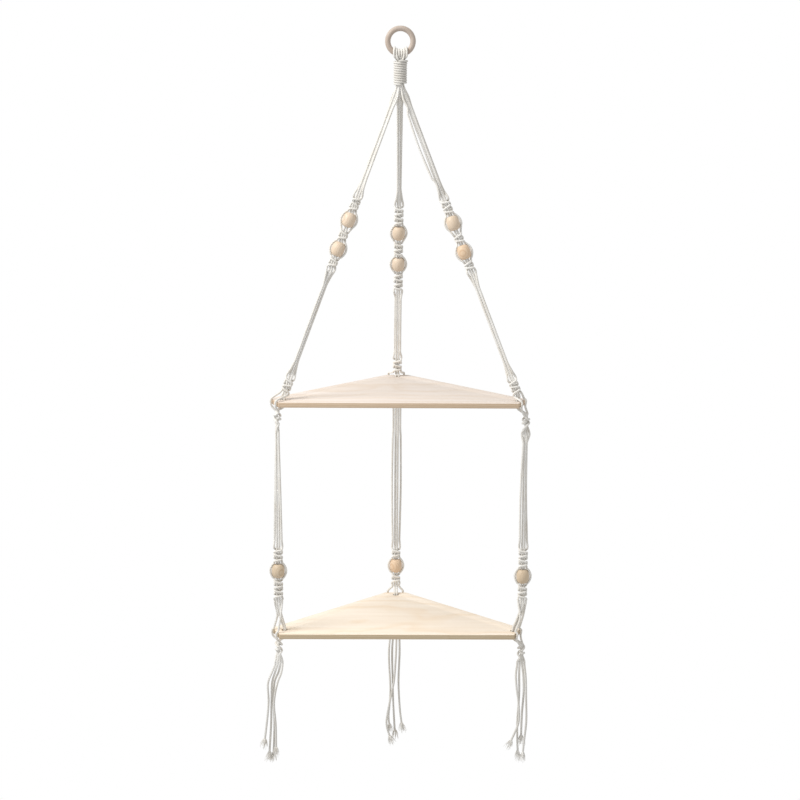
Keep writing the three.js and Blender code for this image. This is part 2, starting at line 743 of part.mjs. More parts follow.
function makeLowerCorners() {
  for (const corner of Object.keys(corners)) {
    const swayTop = corner === 'apex' ? APEX_SWAY_TOP : FRONT_SWAY_TOP;
    const height = SHELF_SPACING - swayTop - SWAY_LENGTH - BEND_GAP / 2;
    const top = corners[corner].hang.clone().setZ(LOWER_SHELF_TOP + height);
    const workers = lowerCornerWorkers[corner];
    const leg = new Leg(top, top.clone().setZ(LOWER_SHELF_TOP), Math.sign(workers.front));
    leg.putStraight(0, CORD_RADIUS);
    const coreSteps = corner === 'apex' ? lowerApexCoreSteps : lowerCoreSteps;
    const bottom = TASSEL_TOP - TASSEL_GAP / 2;
    fixToCorner(leg, corner, LOWER_SHELF_TOP, workers, coreSteps, bottom);
    for (const [place, points] of Object.entries(leg.cords)) {
      addPiece(`corner_cord_${corner}_${place}`, cordGeometry(points), cordMaterial);
    }
  }
}

// The tassels

/** Each loose end's way, as [across, behind, below the board], chosen by hand. */
const tasselWays = {
  left: [
    [[-12, -2, 74], [-18.5, -3, 92], [-18, -3, 127], [-21.5, -4, 167], [-26.5, -5, 208]],
    [[-6.5, 0, 74], [-11.5, 0.5, 92], [-13, 0.5, 127], [-14, 0, 167], [-18, -2, 233]],
    [[-0.5, 3.5, 74], [-7.5, 5, 92], [-10, 5, 127], [-8.5, 4.5, 167], [-11, 3.5, 236]],
    [[4, -2.5, 74], [-2.5, -4.2, 92], [-8.5, -5, 127], [-6, -5.5, 167], [-5.5, -5, 223]],
  ],
  right: [
    [[-8, -1, 77], [-6, -2, 105], [-3, -3.5, 125], [-2, -4.5, 162], [-8.5, -4, 182], [-20, -3, 209]],
    [[-2.2, 2, 77], [-1.5, 2.5, 109], [-2.2, 2.5, 130], [-3.9, 1.5, 162], [-3, 1, 200], [-1.3, 0, 231]],
    [[4.6, 1.5, 77], [6.2, 2.5, 109], [4.2, 3, 145], [3.4, 2.5, 175], [3.2, 2, 204]],
    [[8.8, -1, 82], [10.4, -2, 127], [11.3, -2, 162], [8, -2.5, 200], [5.4, -3, 233]],
  ],
  apex: [
    [[-11.5, -1, 110], [-8.5, -1.5, 188], [-10, -2, 215], [-11.5, -2, 240], [-8, -2, 266]],
    [[-5.5, 2.5, 110], [-4.5, 3.5, 165], [-3.4, 4, 205], [-1.5, 3, 240], [1, 2, 279]],
    [[1.5, -2.5, 110], [-1.8, -4.5, 165], [-4.6, -7, 182], [-14.5, -8, 235], [-15, -8, 252], [-5, -6, 287]],
    [[8, 0.5, 110], [6.3, 0.5, 170], [8, 0, 208], [10.7, -1, 238], [15, -1.5, 264]],
  ],
};

function makeTassels() {
  for (const [corner, ways] of Object.entries(tasselWays)) {
    const { hang } = corners[corner];
    const reach = knotShares.entryReach * PITCH;
    const starts = [-reach, -PITCH / 2, PITCH / 2, reach];
    ways.forEach((way, i) => {
      const start = [starts[i], 0, TASSEL_TOP + TASSEL_GAP / 2];
      const straight = [starts[i], 0, TASSEL_TOP + TASSEL_GAP / 2 + CORD_RADIUS];
      const points = [start, straight, ...way].map(([across, behind, below]) => {
        return cordPoint(new THREE.Vector3(hang.x + across, hang.y + behind, LOWER_SHELF_TOP - below));
      });
      addPiece(`tassel_${corner}_${i + 1}`, cordGeometry(points, TASSEL_SIDES), cordMaterial);
    });
  }
}

makeRing();
makeShelves();
makeWrap();
makeBridles();
makeLowerLegs();
makeLowerCorners();
makeTassels();

export default model;
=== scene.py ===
# %% [markdown]
# # A hanging rope shelf
# Two pine boards hang from a wooden ring by twelve runs of cotton cord, tied in square knots round
# wooden beads. The plain solids come first, as a frame of the real sizes. Each of them is then made
# again with the surface of the real thing, in the same place. Most of them ride on the body that
# moves them, but not the cords between the boards or the tassels' cords.

# %% Load the solids
import math

import bpy
import numpy as np
from mathutils import Matrix, Vector


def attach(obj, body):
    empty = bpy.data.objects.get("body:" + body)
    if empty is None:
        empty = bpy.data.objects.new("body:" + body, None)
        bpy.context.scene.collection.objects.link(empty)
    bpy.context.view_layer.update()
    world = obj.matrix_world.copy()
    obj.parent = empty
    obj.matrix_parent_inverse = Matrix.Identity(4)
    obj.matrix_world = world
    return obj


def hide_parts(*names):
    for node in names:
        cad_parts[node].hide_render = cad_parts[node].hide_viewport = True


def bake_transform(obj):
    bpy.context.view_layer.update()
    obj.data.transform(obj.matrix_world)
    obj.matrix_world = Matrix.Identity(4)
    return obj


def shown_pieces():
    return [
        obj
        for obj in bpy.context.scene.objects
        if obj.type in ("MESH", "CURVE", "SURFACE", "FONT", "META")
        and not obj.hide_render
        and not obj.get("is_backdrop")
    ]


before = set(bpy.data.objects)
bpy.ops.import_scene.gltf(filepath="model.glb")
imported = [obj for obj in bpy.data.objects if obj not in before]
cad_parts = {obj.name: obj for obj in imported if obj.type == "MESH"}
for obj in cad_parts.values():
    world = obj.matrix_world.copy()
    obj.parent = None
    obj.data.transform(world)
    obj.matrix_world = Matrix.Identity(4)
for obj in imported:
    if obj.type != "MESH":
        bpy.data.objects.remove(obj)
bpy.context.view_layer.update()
MM = 0.001

# %% [markdown]
# ## The camera
# The picture is taken from a little above the upper board and from far away, with a long lens, so
# the boards show their tops and hardly narrow towards the back. The camera's three axes are worked
# out from its turn to the side, its tilt down and its slight roll, and become its matrix.

# %% Place the camera
CAMERA_TARGET = Vector((3.4, 0.0, -612.27)) * MM
CAMERA_DISTANCE = 3.3
CAMERA_LENS = 87.95
CAMERA_REACH = 60.0
CAMERA_TURN = math.radians(-0.792)
CAMERA_TILT = math.radians(12.502)
CAMERA_ROLL = math.radians(0.405)


def make_camera():
    back = Vector(
        (
            math.sin(CAMERA_TURN) * math.cos(CAMERA_TILT),
            -math.cos(CAMERA_TURN) * math.cos(CAMERA_TILT),
            math.sin(CAMERA_TILT),
        )
    )
    level = Vector((math.cos(CAMERA_TURN), math.sin(CAMERA_TURN), 0.0))
    upright = back.cross(level)
    right = level * math.cos(CAMERA_ROLL) + upright * math.sin(CAMERA_ROLL)
    up = upright * math.cos(CAMERA_ROLL) - level * math.sin(CAMERA_ROLL)
    data = bpy.data.cameras.new("camera")
    data.lens = CAMERA_LENS
    data.clip_end = CAMERA_REACH
    camera = bpy.data.objects.new("camera", data)
    bpy.context.scene.collection.objects.link(camera)
    turned = Matrix((right, up, back)).transposed().to_4x4()
    camera.matrix_world = Matrix.Translation(CAMERA_TARGET + back * CAMERA_DISTANCE) @ turned
    bpy.context.scene.camera = camera


make_camera()
print("camera:", [round(x, 3) for x in bpy.context.scene.camera.location])

# %% [markdown]
# ## Sizes
# These are the sizes, in millimetres, of the solids that the new surfaces have to meet. The cords'
# ways are worked out from them once more here, step by step, because a cord's surface needs the
# line down its middle, and a solid doesn't tell where that line is.

# %% Sizes in millimetres
RING_DIAMETER = 50.0
RING_SECTION = 9.0
CORD_DIAMETER = 3.8
CORD_GAP = 0.3
PIECE_GAP = 0.6
SHELF_WIDTH = 425.0
SHELF_THICKNESS = 9.0
CORNER_FLAT = 38.0
CORD_HOLE = 10.0
UPPER_SHELF_TOP = -598.7
SHELF_SPACING = 400.8
RING_SETBACK = 84.1
HOLE_INSETS = {"left": 15.5, "right": 8.0, "apex": 13.0}
LEG_INSETS = {"left": 13.7, "right": 4.2, "apex": 8.9}
HANG_SHIFTS = {"left": 4.6, "right": 6.5, "apex": 0.0}
BEAD_DIAMETER = 22.0
BEAD_LENGTH = 24.0
WRAP_CORD = 3.2
WRAP_GAP = 0.6
WRAP_TURNS = 10
WRAP_FLARE_WIDTH = 1.5
WRAP_FLARE_TURNS = 1.5
WRAP_UNDER_BOW = 10.5
SQUEEZED_CORD = 3.3
LEGS_UNDER_WRAP = 6.6
BRIDLE_RUNS = {"left": 189.9, "right": 195.7, "apex": 208.1}
CORD_SLACKS = {"left": 0.0, "right": 5.5, "apex": 0.0}
BEAD_GAP = 5.0
BEAD_SPACERS = {"left": 8.5, "right": 8.5, "apex": 6.5}
KNOTS_ABOVE_SHELF = {"left": 14.3, "right": 14.3, "apex": 10.7}
KNOTS_UNDER_SHELF = {"left": 22.0, "right": 27.5, "apex": 22.0}
TASSEL_TOP = 57.0
TAIL_BELOW_KNOT = 7.0
SWAY_TOPS = {"left": 56.0, "right": 56.0, "apex": 95.5}
SWAY_LENGTH = 292.0
SWING_ANGLE = math.radians(15)
FOLDED_CORDS = 6
BOW_STEPS = 3

CORD_RADIUS = CORD_DIAMETER / 2
PITCH = CORD_DIAMETER + CORD_GAP
RING_CENTRELINE = (RING_DIAMETER - RING_SECTION) / 2
RING_CENTRE_Z = -(RING_DIAMETER / 2 - RING_SECTION)
BOW_Z = RING_CENTRE_Z - RING_CENTRELINE
LOWER_SHELF_TOP = UPPER_SHELF_TOP - SHELF_SPACING
print("boards:", SHELF_WIDTH, "mm wide at", UPPER_SHELF_TOP, "and", LOWER_SHELF_TOP, "mm")

# %% [markdown]
# ## A corner of a board
# Each board is a right-angled triangle with its three corners cut off. The cords pass each cut: two
# go down a hole behind it and two go round its edge. The boards aren't quite true, so at the front
# corners the cords hang a little to the right of the middle of the cut.

# %% The corners
DIAGONAL = math.sqrt(0.5)
FRONT_ANGLE = math.pi / 4
CORNER_ANGLE = (math.pi - FRONT_ANGLE) / 2
CORNER_CUT = CORNER_FLAT / (2 * math.sin(FRONT_ANGLE / 2))
HALF_SHARP = SHELF_WIDTH / 2 + CORNER_CUT * DIAGONAL
APEX_Y = HALF_SHARP - CORNER_FLAT / 2 - RING_SETBACK


def front_corner(hand):
    """Which way the middle of a front corner's flat is, faces, and lies along the flat."""
    x = HALF_SHARP - CORNER_CUT * (1 + DIAGONAL) / 2
    y = CORNER_CUT * DIAGONAL / 2 - RING_SETBACK
    flat = np.array([hand * x, y, 0.0])
    outward = np.array([hand * math.sin(CORNER_ANGLE), -math.cos(CORNER_ANGLE), 0.0])
    right = np.array([math.cos(CORNER_ANGLE), hand * math.sin(CORNER_ANGLE), 0.0])
    return {"flat": flat, "outward": outward, "right": right}


corners = {
    "left": front_corner(-1),
    "right": front_corner(1),
    "apex": {
        "flat": np.array([0.0, APEX_Y, 0.0]),
        "outward": np.array([0.0, 1.0, 0.0]),
        "right": np.array([1.0, 0.0, 0.0]),
    },
}


def raised(place, height):
    """The place, moved up by so much."""
    return np.array(place, float) + [0.0, 0.0, height]


for name, corner in corners.items():
    corner["hole"] = corner["flat"] - HOLE_INSETS[name] * corner["outward"]
    corner["aim"] = corner["flat"] - LEG_INSETS[name] * corner["outward"]
    corner["hang"] = corner["flat"] + [HANG_SHIFTS[name], 0.0, 0.0]
print("corners:", {name: corner["flat"].round(1).tolist() for name, corner in corners.items()})

# %% [markdown]
# ## How four cords lie together
# Under the ring the cords part into three legs of four. Two of the four are cores, which run
# straight through every knot and bead. The other two are workers. In a square knot each worker
# crosses the cores again and again, one always in front and one always behind, and changes sides
# at each half knot. Cotton gives way where it is pulled tight, so here the bars of a knot slant, and
# the workers lie on the beads, more than stiff solids could that must not touch. All of it is told
# in shares of the pitch, which is one cord and the small gap beside it.

# %% Shares of the pitch
knot_shares = {
    "half_knot": 2.0,
    "bar_reach": 1.29,
    "bar_end_depth": 0.885,
    "bar_depth": 1.08,
    "bar_rise": 0.15,
    "bar_slant": 0.36,
    "turn_reach": 1.53,
    "turn_rise": 0.22,
    "entry_reach": 1.7,
    "entry_rise": 1.45,
}
loose_shares = {"reach": 1.12, "depth": 0.95}
close_shares = {"reach": 0.85, "depth": 0.97}
tight_shares = {"reach": 0.58, "depth": 1.0}
# Share of the way down, then share of the slack
slack_shares = [(0.22, 0.6), (0.5, 1.0), (0.78, 0.65)]
# Share of the way down, then how far out the front and the back worker hang
hanging_shares = {
    "left": [(0.08, 0.58, 0.58), (0.55, 1.15, 1.15), (0.92, 1.5, 1.5)],
    "right": [(0.08, 1.0, 0.58), (0.5, 1.65, 0.7), (0.92, 1.6, 1.5)],
    "apex": [(0.08, 1.75, 1.75), (0.5, 1.9, 1.9), (0.92, 1.5, 1.5)],
}
# Shares of the bead's diameter, then twice of its length
bead_shares = {"shoulder_in": 0.16, "shoulder_rise": 0.46, "waist_rise": 0.15}
HUG_GAP = 0.1
HALF_KNOT = knot_shares["half_knot"] * PITCH
BAR_HALF_HEIGHT = knot_shares["bar_rise"] * PITCH + CORD_RADIUS
SIDE_BY_SIDE = 1.5 * PITCH
DRAWN_IN = 4 * PITCH
CORES = (("left", -1), ("right", 1))


def knot_length(half_knots):
    return (half_knots - 1) * HALF_KNOT + 2 * BAR_HALF_HEIGHT


print("a knot of three half knots is", round(knot_length(3), 1), "mm long")

# %% [markdown]
# ## A leg, knot by knot
# Each cord could be drawn by itself, but then no knot would fit its neighbour. So a leg is tied as by
# hand, from the top down: so much plain cord, a knot of so many half knots, a bead, and again. It
# notes where each of its four cords passes, with the cord's radius there, and on which side each
# worker is.

# %% The leg
class Leg:
    """Four cords that run down together: two cores, left and right, and two workers."""

    def __init__(self, top, bottom, front_side, right=(1.0, 0.0, 0.0)):
        self.top = np.array(top, float)
        way = np.array(bottom, float) - self.top
        self.length = float(np.linalg.norm(way))
        self.down = way / self.length
        self.turn_to(right)
        self.reached = 0.0
        self.side = {"front": front_side, "back": -front_side}
        self.cords = {"left": [], "right": [], "front": [], "back": []}
        self.beads = []

    def turn_to(self, right):
        right = np.array(right, float)
        right = right - right.dot(self.down) * self.down
        self.right = right / np.linalg.norm(right)
        self.back = np.cross(self.right, self.down)

    def place(self, across, behind, below):
        return self.top + across * self.right + behind * self.back + below * self.down

    def put(self, cord, across, behind, below):
        """The cord's next point: so far to the right, to the back and down the leg."""
        self.cords[cord].append((*self.place(across, behind, below), CORD_RADIUS))

    def put_cores(self, below):
        for cord, side in CORES:
            self.put(cord, side * PITCH / 2, 0.0, below)

    def put_drawn(self, below, shares):
        """The workers lie against the cores, one before them and one behind."""
        reach = shares["reach"] * PITCH
        depth = shares["depth"] * PITCH
        self.put("front", self.side["front"] * reach, -depth, below)
        self.put("back", self.side["back"] * reach, depth, below)

    def put_spread(self, below, reach=knot_shares["entry_reach"] * PITCH):
        """The workers stand out to both sides, as at a knot's ends and round a bead."""
        self.put("front", self.side["front"] * reach, 0.0, below)
        self.put("back", self.side["back"] * reach, 0.0, below)

    def put_straight(self, start, end, drawn=False):
        """The four side by side, or with the workers drawn in, between two places."""
        for below in (start, end):
            self.put_cores(below)
            if drawn:
                self.put_drawn(below, tight_shares)
            else:
                self.put_spread(below, SIDE_BY_SIDE)

    def run(self, below, start=close_shares, end=None, slack=0.0):
        """Plain cord as far as `below`, drawn in near both ends, with the front worker slack or not."""
        end = end or start
        self.put_drawn(self.reached + DRAWN_IN, loose_shares)
        if start is not loose_shares:
            self.put_drawn(self.reached + 2 * DRAWN_IN, start)
        if slack > 0:
            length = below - self.reached
            for place_share, share in slack_shares:
                across = self.side["front"] * (close_shares["reach"] * PITCH + share * slack)
                at = self.reached + place_share * length
                self.put("front", across, -close_shares["depth"] * PITCH, at)
        if end is not loose_shares:
            self.put_drawn(below - 2 * DRAWN_IN, end)
        self.put_drawn(below - DRAWN_IN, loose_shares)
        self.reached = below

    def knot(self, half_knots):
        """A square knot, half knot by half knot: the front worker's bar and the back worker's."""
        first = self.reached + BAR_HALF_HEIGHT
        entry = knot_shares["entry_rise"] * PITCH
        self.put_spread(first - entry)
        for i in range(half_knots):
            bar = first + i * HALF_KNOT
            for cord, behind in (("front", -1), ("back", 1)):
                self.cross(cord, behind, bar, i < half_knots - 1)
        last = first + (half_knots - 1) * HALF_KNOT
        self.put_spread(last + entry)
        self.reached = last + BAR_HALF_HEIGHT

    def cross(self, cord, behind, bar, turns):
        """One worker's way over the cores, and round to where it comes back."""
        side = self.side[cord]
        reach = side * knot_shares["bar_reach"] * PITCH
        end_depth = behind * knot_shares["bar_end_depth"] * PITCH
        rise = knot_shares["bar_slant"] * PITCH
        self.put(cord, reach, end_depth, bar - rise)
        self.put(cord, 0.0, behind * knot_shares["bar_depth"] * PITCH, bar)
        self.put(cord, -reach, end_depth, bar + rise)
        if turns:
            turn = -side * knot_shares["turn_reach"] * PITCH
            turn_rise = knot_shares["turn_rise"] * PITCH
            self.put(cord, turn, 0.0, bar + HALF_KNOT / 2 - turn_rise)
            self.put(cord, turn, 0.0, bar + HALF_KNOT / 2 + turn_rise)
        self.side[cord] = -side

    def bead(self, name):
        """The workers round a bead, whose place and turn are noted for later."""
        centre = self.reached + BEAD_LENGTH / 2
        waist = BEAD_DIAMETER / 2 + CORD_RADIUS + HUG_GAP
        shoulder = waist - bead_shares["shoulder_in"] * BEAD_DIAMETER
        shoulder_rise = bead_shares["shoulder_rise"] * BEAD_LENGTH
        waist_rise = bead_shares["waist_rise"] * BEAD_LENGTH
        self.put_spread(centre - shoulder_rise, shoulder)
        self.put_spread(centre - waist_rise, waist)
        self.put_spread(centre + waist_rise, waist)
        self.put_spread(centre + shoulder_rise, shoulder)
        self.beads.append((name, self.place(0.0, 0.0, centre), self.down))
        self.reached += BEAD_LENGTH


trial = Leg((0.0, 0.0, 0.0), (0.0, 0.0, -100.0), 1)
trial.knot(2)
print("points in a worker's square knot:", len(trial.cords["front"]))

# %% [markdown]
# ## Under the ring
# Six long cords are folded in half over the ring's bow, so twelve runs come down. A thirteenth cord
# is wound round all of them and squeezes them a little. Inside it they lie in a square grid of three
# groups of four. The winding is a screw, as a cord wound by hand is, and not a pile of rings.

# %% The collar's ways
WRAP_STEPS = 24
SQUEEZED_PITCH = SQUEEZED_CORD + CORD_GAP
# The outermost of the twelve runs lies one and a half columns and half a row from the middle
BUNDLE_RADIUS = math.hypot(1.5, 0.5) * SQUEEZED_PITCH + SQUEEZED_CORD / 2
WRAP_RADIUS = BUNDLE_RADIUS + CORD_GAP + WRAP_CORD / 2
WRAP_PITCH = WRAP_CORD + WRAP_GAP
WRAP_TOP = BOW_Z - WRAP_UNDER_BOW
WRAP_BOTTOM = WRAP_TOP - WRAP_TURNS * WRAP_PITCH
LEG_TOP = WRAP_BOTTOM - LEGS_UNDER_WRAP

# For cord 1 to 3 its column and row in the grid, then the points and radii on its way to the ring
approaches = [
    (-1.5, -0.5, [[-10, -7.4, -3, 1.9], [-7.6, -4.6, -6.7, 1.65], [-5.6, -2.2, -9.3, 1.65]]),
    (-0.5, -1.5, [[-5.4, -7.8, -4.5, 1.8], [-4.6, -7.6, -6.7, 1.65], [-2.9, -6.6, -9.3, 1.65]]),
    (-0.5, -0.5, [[-2, -5.7, -4.7, 1.75], [-1.8, -2.8, -7.7, 1.65], [-1.8, -1.9, -9.3, 1.65]]),
]


def over_the_bow(x, facing):
    """Half of a cord's loop over the ring, from outside the ring to the loop's top inside it."""
    inside = RING_CENTRELINE - RING_SECTION / 2 - CORD_RADIUS - PIECE_GAP
    outer_angle = math.asin(x / RING_CENTRELINE)
    inner_angle = x / inside
    drop = RING_CENTRELINE * (1 - math.cos(outer_angle))
    swing = drop * math.tan(SWING_ANGLE)
    reach = RING_SECTION / 2 + CORD_RADIUS + PIECE_GAP + CORD_GAP + swing
    points = []
    for i in range(BOW_STEPS + 1):
        turn = math.pi / 2 * i / BOW_STEPS
        angle = outer_angle + (inner_angle - outer_angle) * math.sin(turn)
        from_centre = RING_CENTRELINE + (inside - RING_CENTRELINE) * math.sin(turn)
        y = facing * reach * math.cos(turn)
        z = RING_CENTRE_Z - from_centre * math.cos(angle)
        points.append((from_centre * math.sin(angle), y, z, CORD_RADIUS))
    return points


def collar_way(number, facing):
    """The way of cord 1 to 6, front or back, from the wrap up to its loop's top."""
    mirrored = number > FOLDED_CORDS / 2
    column, row, way = approaches[FOLDED_CORDS - number if mirrored else number - 1]
    hand = -1 if mirrored else 1
    points = []
    for z in (WRAP_BOTTOM - WRAP_CORD / 2, WRAP_TOP - WRAP_PITCH / 2):
        x = hand * column * SQUEEZED_PITCH
        points.append((x, -facing * row * SQUEEZED_PITCH, z, SQUEEZED_CORD / 2))
    for x, y, height, radius in reversed(way):
        points.append((hand * x, -facing * y, BOW_Z + height, radius))
    return points + over_the_bow((number - (FOLDED_CORDS + 1) / 2) * PITCH, facing)


def wrap_way():
    """The winding's way: a screw that opens out a little over the cords that come in at its top."""
    points = []
    for i in range(WRAP_TURNS * WRAP_STEPS + 1):
        turn = i / WRAP_STEPS
        flare = WRAP_FLARE_WIDTH * max(0.0, 1 - turn / WRAP_FLARE_TURNS)
        angle = 2 * math.pi * turn
        x = (WRAP_RADIUS + flare) * math.sin(angle)
        y = -(WRAP_RADIUS + flare) * math.cos(angle)
        points.append((x, y, WRAP_TOP - turn * WRAP_PITCH, WRAP_CORD / 2))
    return points


print("collar:", round(WRAP_TOP - WRAP_BOTTOM, 1), "mm high and", round(2 * WRAP_RADIUS, 1), "mm across")

# %% [markdown]
# ## Round a board's corner
# The cores go down the hole and the workers go over the edge of the flat. Under the board all four
# meet again in a square knot that holds the board up. The knot is turned to face out of the corner,
# and below it the four turn back to face the front. Where the leg bends they lie side by side, so
# that no cord has to stretch. Only the left leg is drawn in there.

# %% The corner's ways
HOLDING_KNOT = 2
EDGE_SHARE = 1.35
DRAWN_CORNER = "left"
# Where the two workers cross the corner's flat, in mm from its middle
upper_workers = {
    "left": {"front": 15.0, "back": -8.0},
    "right": {"front": -12.0, "back": 8.0},
    "apex": {"front": -15.0, "back": 12.0},
}
lower_workers = {
    "left": {"front": -9.0, "back": 12.0, "waypoint": 26.0, "share": 0.75},
    "right": {"front": 9.0, "back": -12.0, "waypoint": 26.0, "share": 0.75},
    "apex": {"front": -14.0, "back": 13.0},
}
# Height over the board, then the shares of the way in to the hole, of the corner's turn and of the
# usual spacing
upper_core_steps = [(3.0, 1.0, 0.5, 1.25), (-12.0, 1.0, 1.0, 1.0)]
lower_core_steps = [
    (38.0, 0.08, 0.1, 1.04),
    (20.0, 0.5, 0.45, 1.12),
    (4.0, 0.97, 0.74, 1.12),
    (-12.0, 1.0, 1.0, 1.0),
]
lower_apex_core_steps = [(4.5, 0.92, 0.0, 1.0), (0.0, 1.0, 0.0, 1.0), (-12.0, 1.0, 0.0, 1.0)]


def level_turn(angle):
    """The level direction at that angle from straight right."""
    return np.array([math.cos(angle), math.sin(angle), 0.0])


def lead_cores(leg, facts, shelf_top, core_steps):
    """The two cores from where the leg hangs into the hole, turning with the corner as they go."""
    turned = math.atan2(facts["right"][1], facts["right"][0])
    for height, inward, turn, spread in core_steps:
        middle = facts["hang"] + inward * (facts["hole"] - facts["hang"])
        across = spread * PITCH / 2 * level_turn(turn * turned)
        for cord, side in CORES:
            place = raised(middle + side * across, shelf_top + height)
            leg.cords[cord].append((*place, CORD_RADIUS))


def lead_workers(leg, facts, shelf_top, workers):
    """The two workers over the edge of the corner's flat, each at its own place along it."""
    clear = CORD_RADIUS + PIECE_GAP
    for cord in ("front", "back"):
        along = workers[cord]
        steps = [
            ("flat", along, 0.0, EDGE_SHARE * clear),
            ("flat", along, EDGE_SHARE * clear, 0.0),
            ("flat", along, clear, -SHELF_THICKNESS - clear / 2),
        ]
        if "waypoint" in workers:
            steps.insert(0, ("hang", workers["share"] * along, 0.0, workers["waypoint"]))
        for start, along, out, height in steps:
            place = facts[start] + along * facts["right"] + out * facts["outward"]
            leg.cords[cord].append((*raised(place, shelf_top + height), CORD_RADIUS))


def fix_to_corner(leg, corner, shelf_top, workers, core_steps, bottom, drawn=False):
    """Leads a leg's cords past a corner, knots them under it and ends them at `bottom`."""
    facts = corners[corner]
    lead_cores(leg, facts, shelf_top, core_steps)
    lead_workers(leg, facts, shelf_top, workers)
    top = raised(facts["hang"], shelf_top)
    under = raised(top, -SHELF_THICKNESS)
    below = Leg(top, under, math.copysign(1, workers["front"]), facts["right"])
    below.cords = leg.cords
    below.put_cores(KNOTS_UNDER_SHELF[corner] - PITCH)
    below.reached = KNOTS_UNDER_SHELF[corner]
    below.knot(HOLDING_KNOT)
    below.put_cores(below.reached + PITCH)
    middle = (below.reached + PITCH + bottom) / 2
    below.turn_to(level_turn(math.atan2(facts["right"][1], facts["right"][0]) / 2))
    below.put_cores(middle)
    if drawn:
        below.put_drawn(middle, tight_shares)
    else:
        below.put_spread(middle, SIDE_BY_SIDE)
    below.turn_to((1.0, 0.0, 0.0))
    below.put_straight(bottom - CORD_RADIUS, bottom, drawn)


print("points for a front core at a board:", len(upper_core_steps), "above and", len(lower_core_steps))

# %% [markdown]
# ## The upper legs
# The twelve runs of the three upper legs are joined over the ring into six cords. Each of them ends
# just below the knots under the upper board, where the shelf bends when it sways. The legs are tied
# alike but for their numbers of half knots, so one function ties all three.

# %% The ways down to the upper board
# Where each leg comes out of the collar, in squeezed pitches to the right and to the back
bridle_shares = {"left": (-1.0, -0.5), "right": (1.0, -0.5), "apex": (0.0, 1.0)}
# Which folded cord each of a leg's four is, and whether it is its front half (-1) or its back one
bridle_cords = {
    "left": {"left": (1, -1), "right": (3, -1), "front": (2, -1), "back": (1, 1)},
    "right": {"left": (4, -1), "right": (6, -1), "front": (5, -1), "back": (6, 1)},
    "apex": {"left": (2, 1), "right": (4, 1), "front": (3, 1), "back": (5, 1)},
}
# On which side the front worker starts, right (1) or left (-1)
front_sides = {"left": 1, "right": -1, "apex": -1}
# Half knots, from the top down: above the first bead, below it, below the second, above the board
upper_knots = {"left": (3, 2, 2, 3), "right": (3, 2, 2, 3), "apex": (4, 3, 4, 3)}
# How close the four lie above the first knot, and above the last one
before_knots = {
    "left": (close_shares, tight_shares),
    "right": (close_shares, tight_shares),
    "apex": (tight_shares, loose_shares),
}


def bridle(corner):
    """A leg from the collar down to the upper board, with its knots and its two beads."""
    column, row = bridle_shares[corner]
    bottom = raised(corners[corner]["aim"], UPPER_SHELF_TOP)
    top = (column * SQUEEZED_PITCH, row * SQUEEZED_PITCH, LEG_TOP)
    leg = Leg(top, bottom, front_sides[corner])
    first, second, third, last = upper_knots[corner]
    before_first, before_last = before_knots[corner]
    leg.put_cores(DRAWN_IN)
    leg.run(BRIDLE_RUNS[corner], close_shares, before_first, CORD_SLACKS[corner])
    leg.knot(first)
    leg.reached += BEAD_GAP
    leg.bead(f"upper_bead_{corner}")
    leg.reached += BEAD_SPACERS[corner]
    leg.knot(second)
    leg.reached += BEAD_GAP
    leg.bead(f"middle_bead_{corner}")
    leg.reached += BEAD_GAP
    leg.knot(third)
    leg.run(leg.length - KNOTS_ABOVE_SHELF[corner] - knot_length(last), before_last)
    leg.knot(last)
    leg.put_cores(leg.reached + knot_shares["entry_rise"] * PITCH)
    fix_to_corner(
        leg, corner, UPPER_SHELF_TOP, upper_workers[corner], upper_core_steps, SWAY_TOPS[corner],
        drawn=corner == DRAWN_CORNER,
    )
    return leg


bridles = {corner: bridle(corner) for corner in corners}
print("upper legs in mm:", {corner: round(leg.length, 1) for corner, leg in bridles.items()})

# %% [markdown]
# ## The lower legs
# From the bend four cords a leg go on to the lower board, through a knot, a bead and a knot. Above
# the first knot nothing binds them, so they hang apart there. They are cut once more a little above
# the lower board, whose corner they then pass, because that board stays level while the legs lean.

# %% The ways down to the lower board
# Half knots above the bead and below it
lower_knots = {"left": (3, 4), "right": (4, 3), "apex": (2, 2)}


def lower_leg(corner):
    """A leg between the boards, with its knots and its bead."""
    top = raised(corners[corner]["hang"], UPPER_SHELF_TOP - SWAY_TOPS[corner])
    leg = Leg(top, raised(top, -SWAY_LENGTH), front_sides[corner])
    leg.put_straight(0.0, CORD_RADIUS, corner == DRAWN_CORNER)
    above, below = lower_knots[corner]
    fittings = knot_length(above) + 2 * BEAD_GAP + BEAD_LENGTH + knot_length(below)
    run = leg.length - TAIL_BELOW_KNOT - fittings
    depth = close_shares["depth"] * PITCH
    for share, front, back in hanging_shares[corner]:
        leg.put("front", leg.side["front"] * front * PITCH, -depth, share * run)
        leg.put("back", leg.side["back"] * back * PITCH, depth, share * run)
    leg.reached = run
    leg.knot(above)
    leg.reached += BEAD_GAP
    leg.bead(f"lower_bead_{corner}")
    leg.reached += BEAD_GAP
    leg.knot(below)
    leg.put_straight(leg.length - CORD_RADIUS, leg.length)
    return leg


def lower_corner(corner):
    """The four cords that hold the lower board, down to the top of the tassel."""
    height = SHELF_SPACING - SWAY_TOPS[corner] - SWAY_LENGTH
    top = raised(corners[corner]["hang"], LOWER_SHELF_TOP + height)
    workers = lower_workers[corner]
    leg = Leg(top, raised(top, -height), math.copysign(1, workers["front"]))
    leg.put_straight(0.0, CORD_RADIUS)
    steps = lower_apex_core_steps if corner == "apex" else lower_core_steps
    fix_to_corner(leg, corner, LOWER_SHELF_TOP, workers, steps, TASSEL_TOP)
    return leg


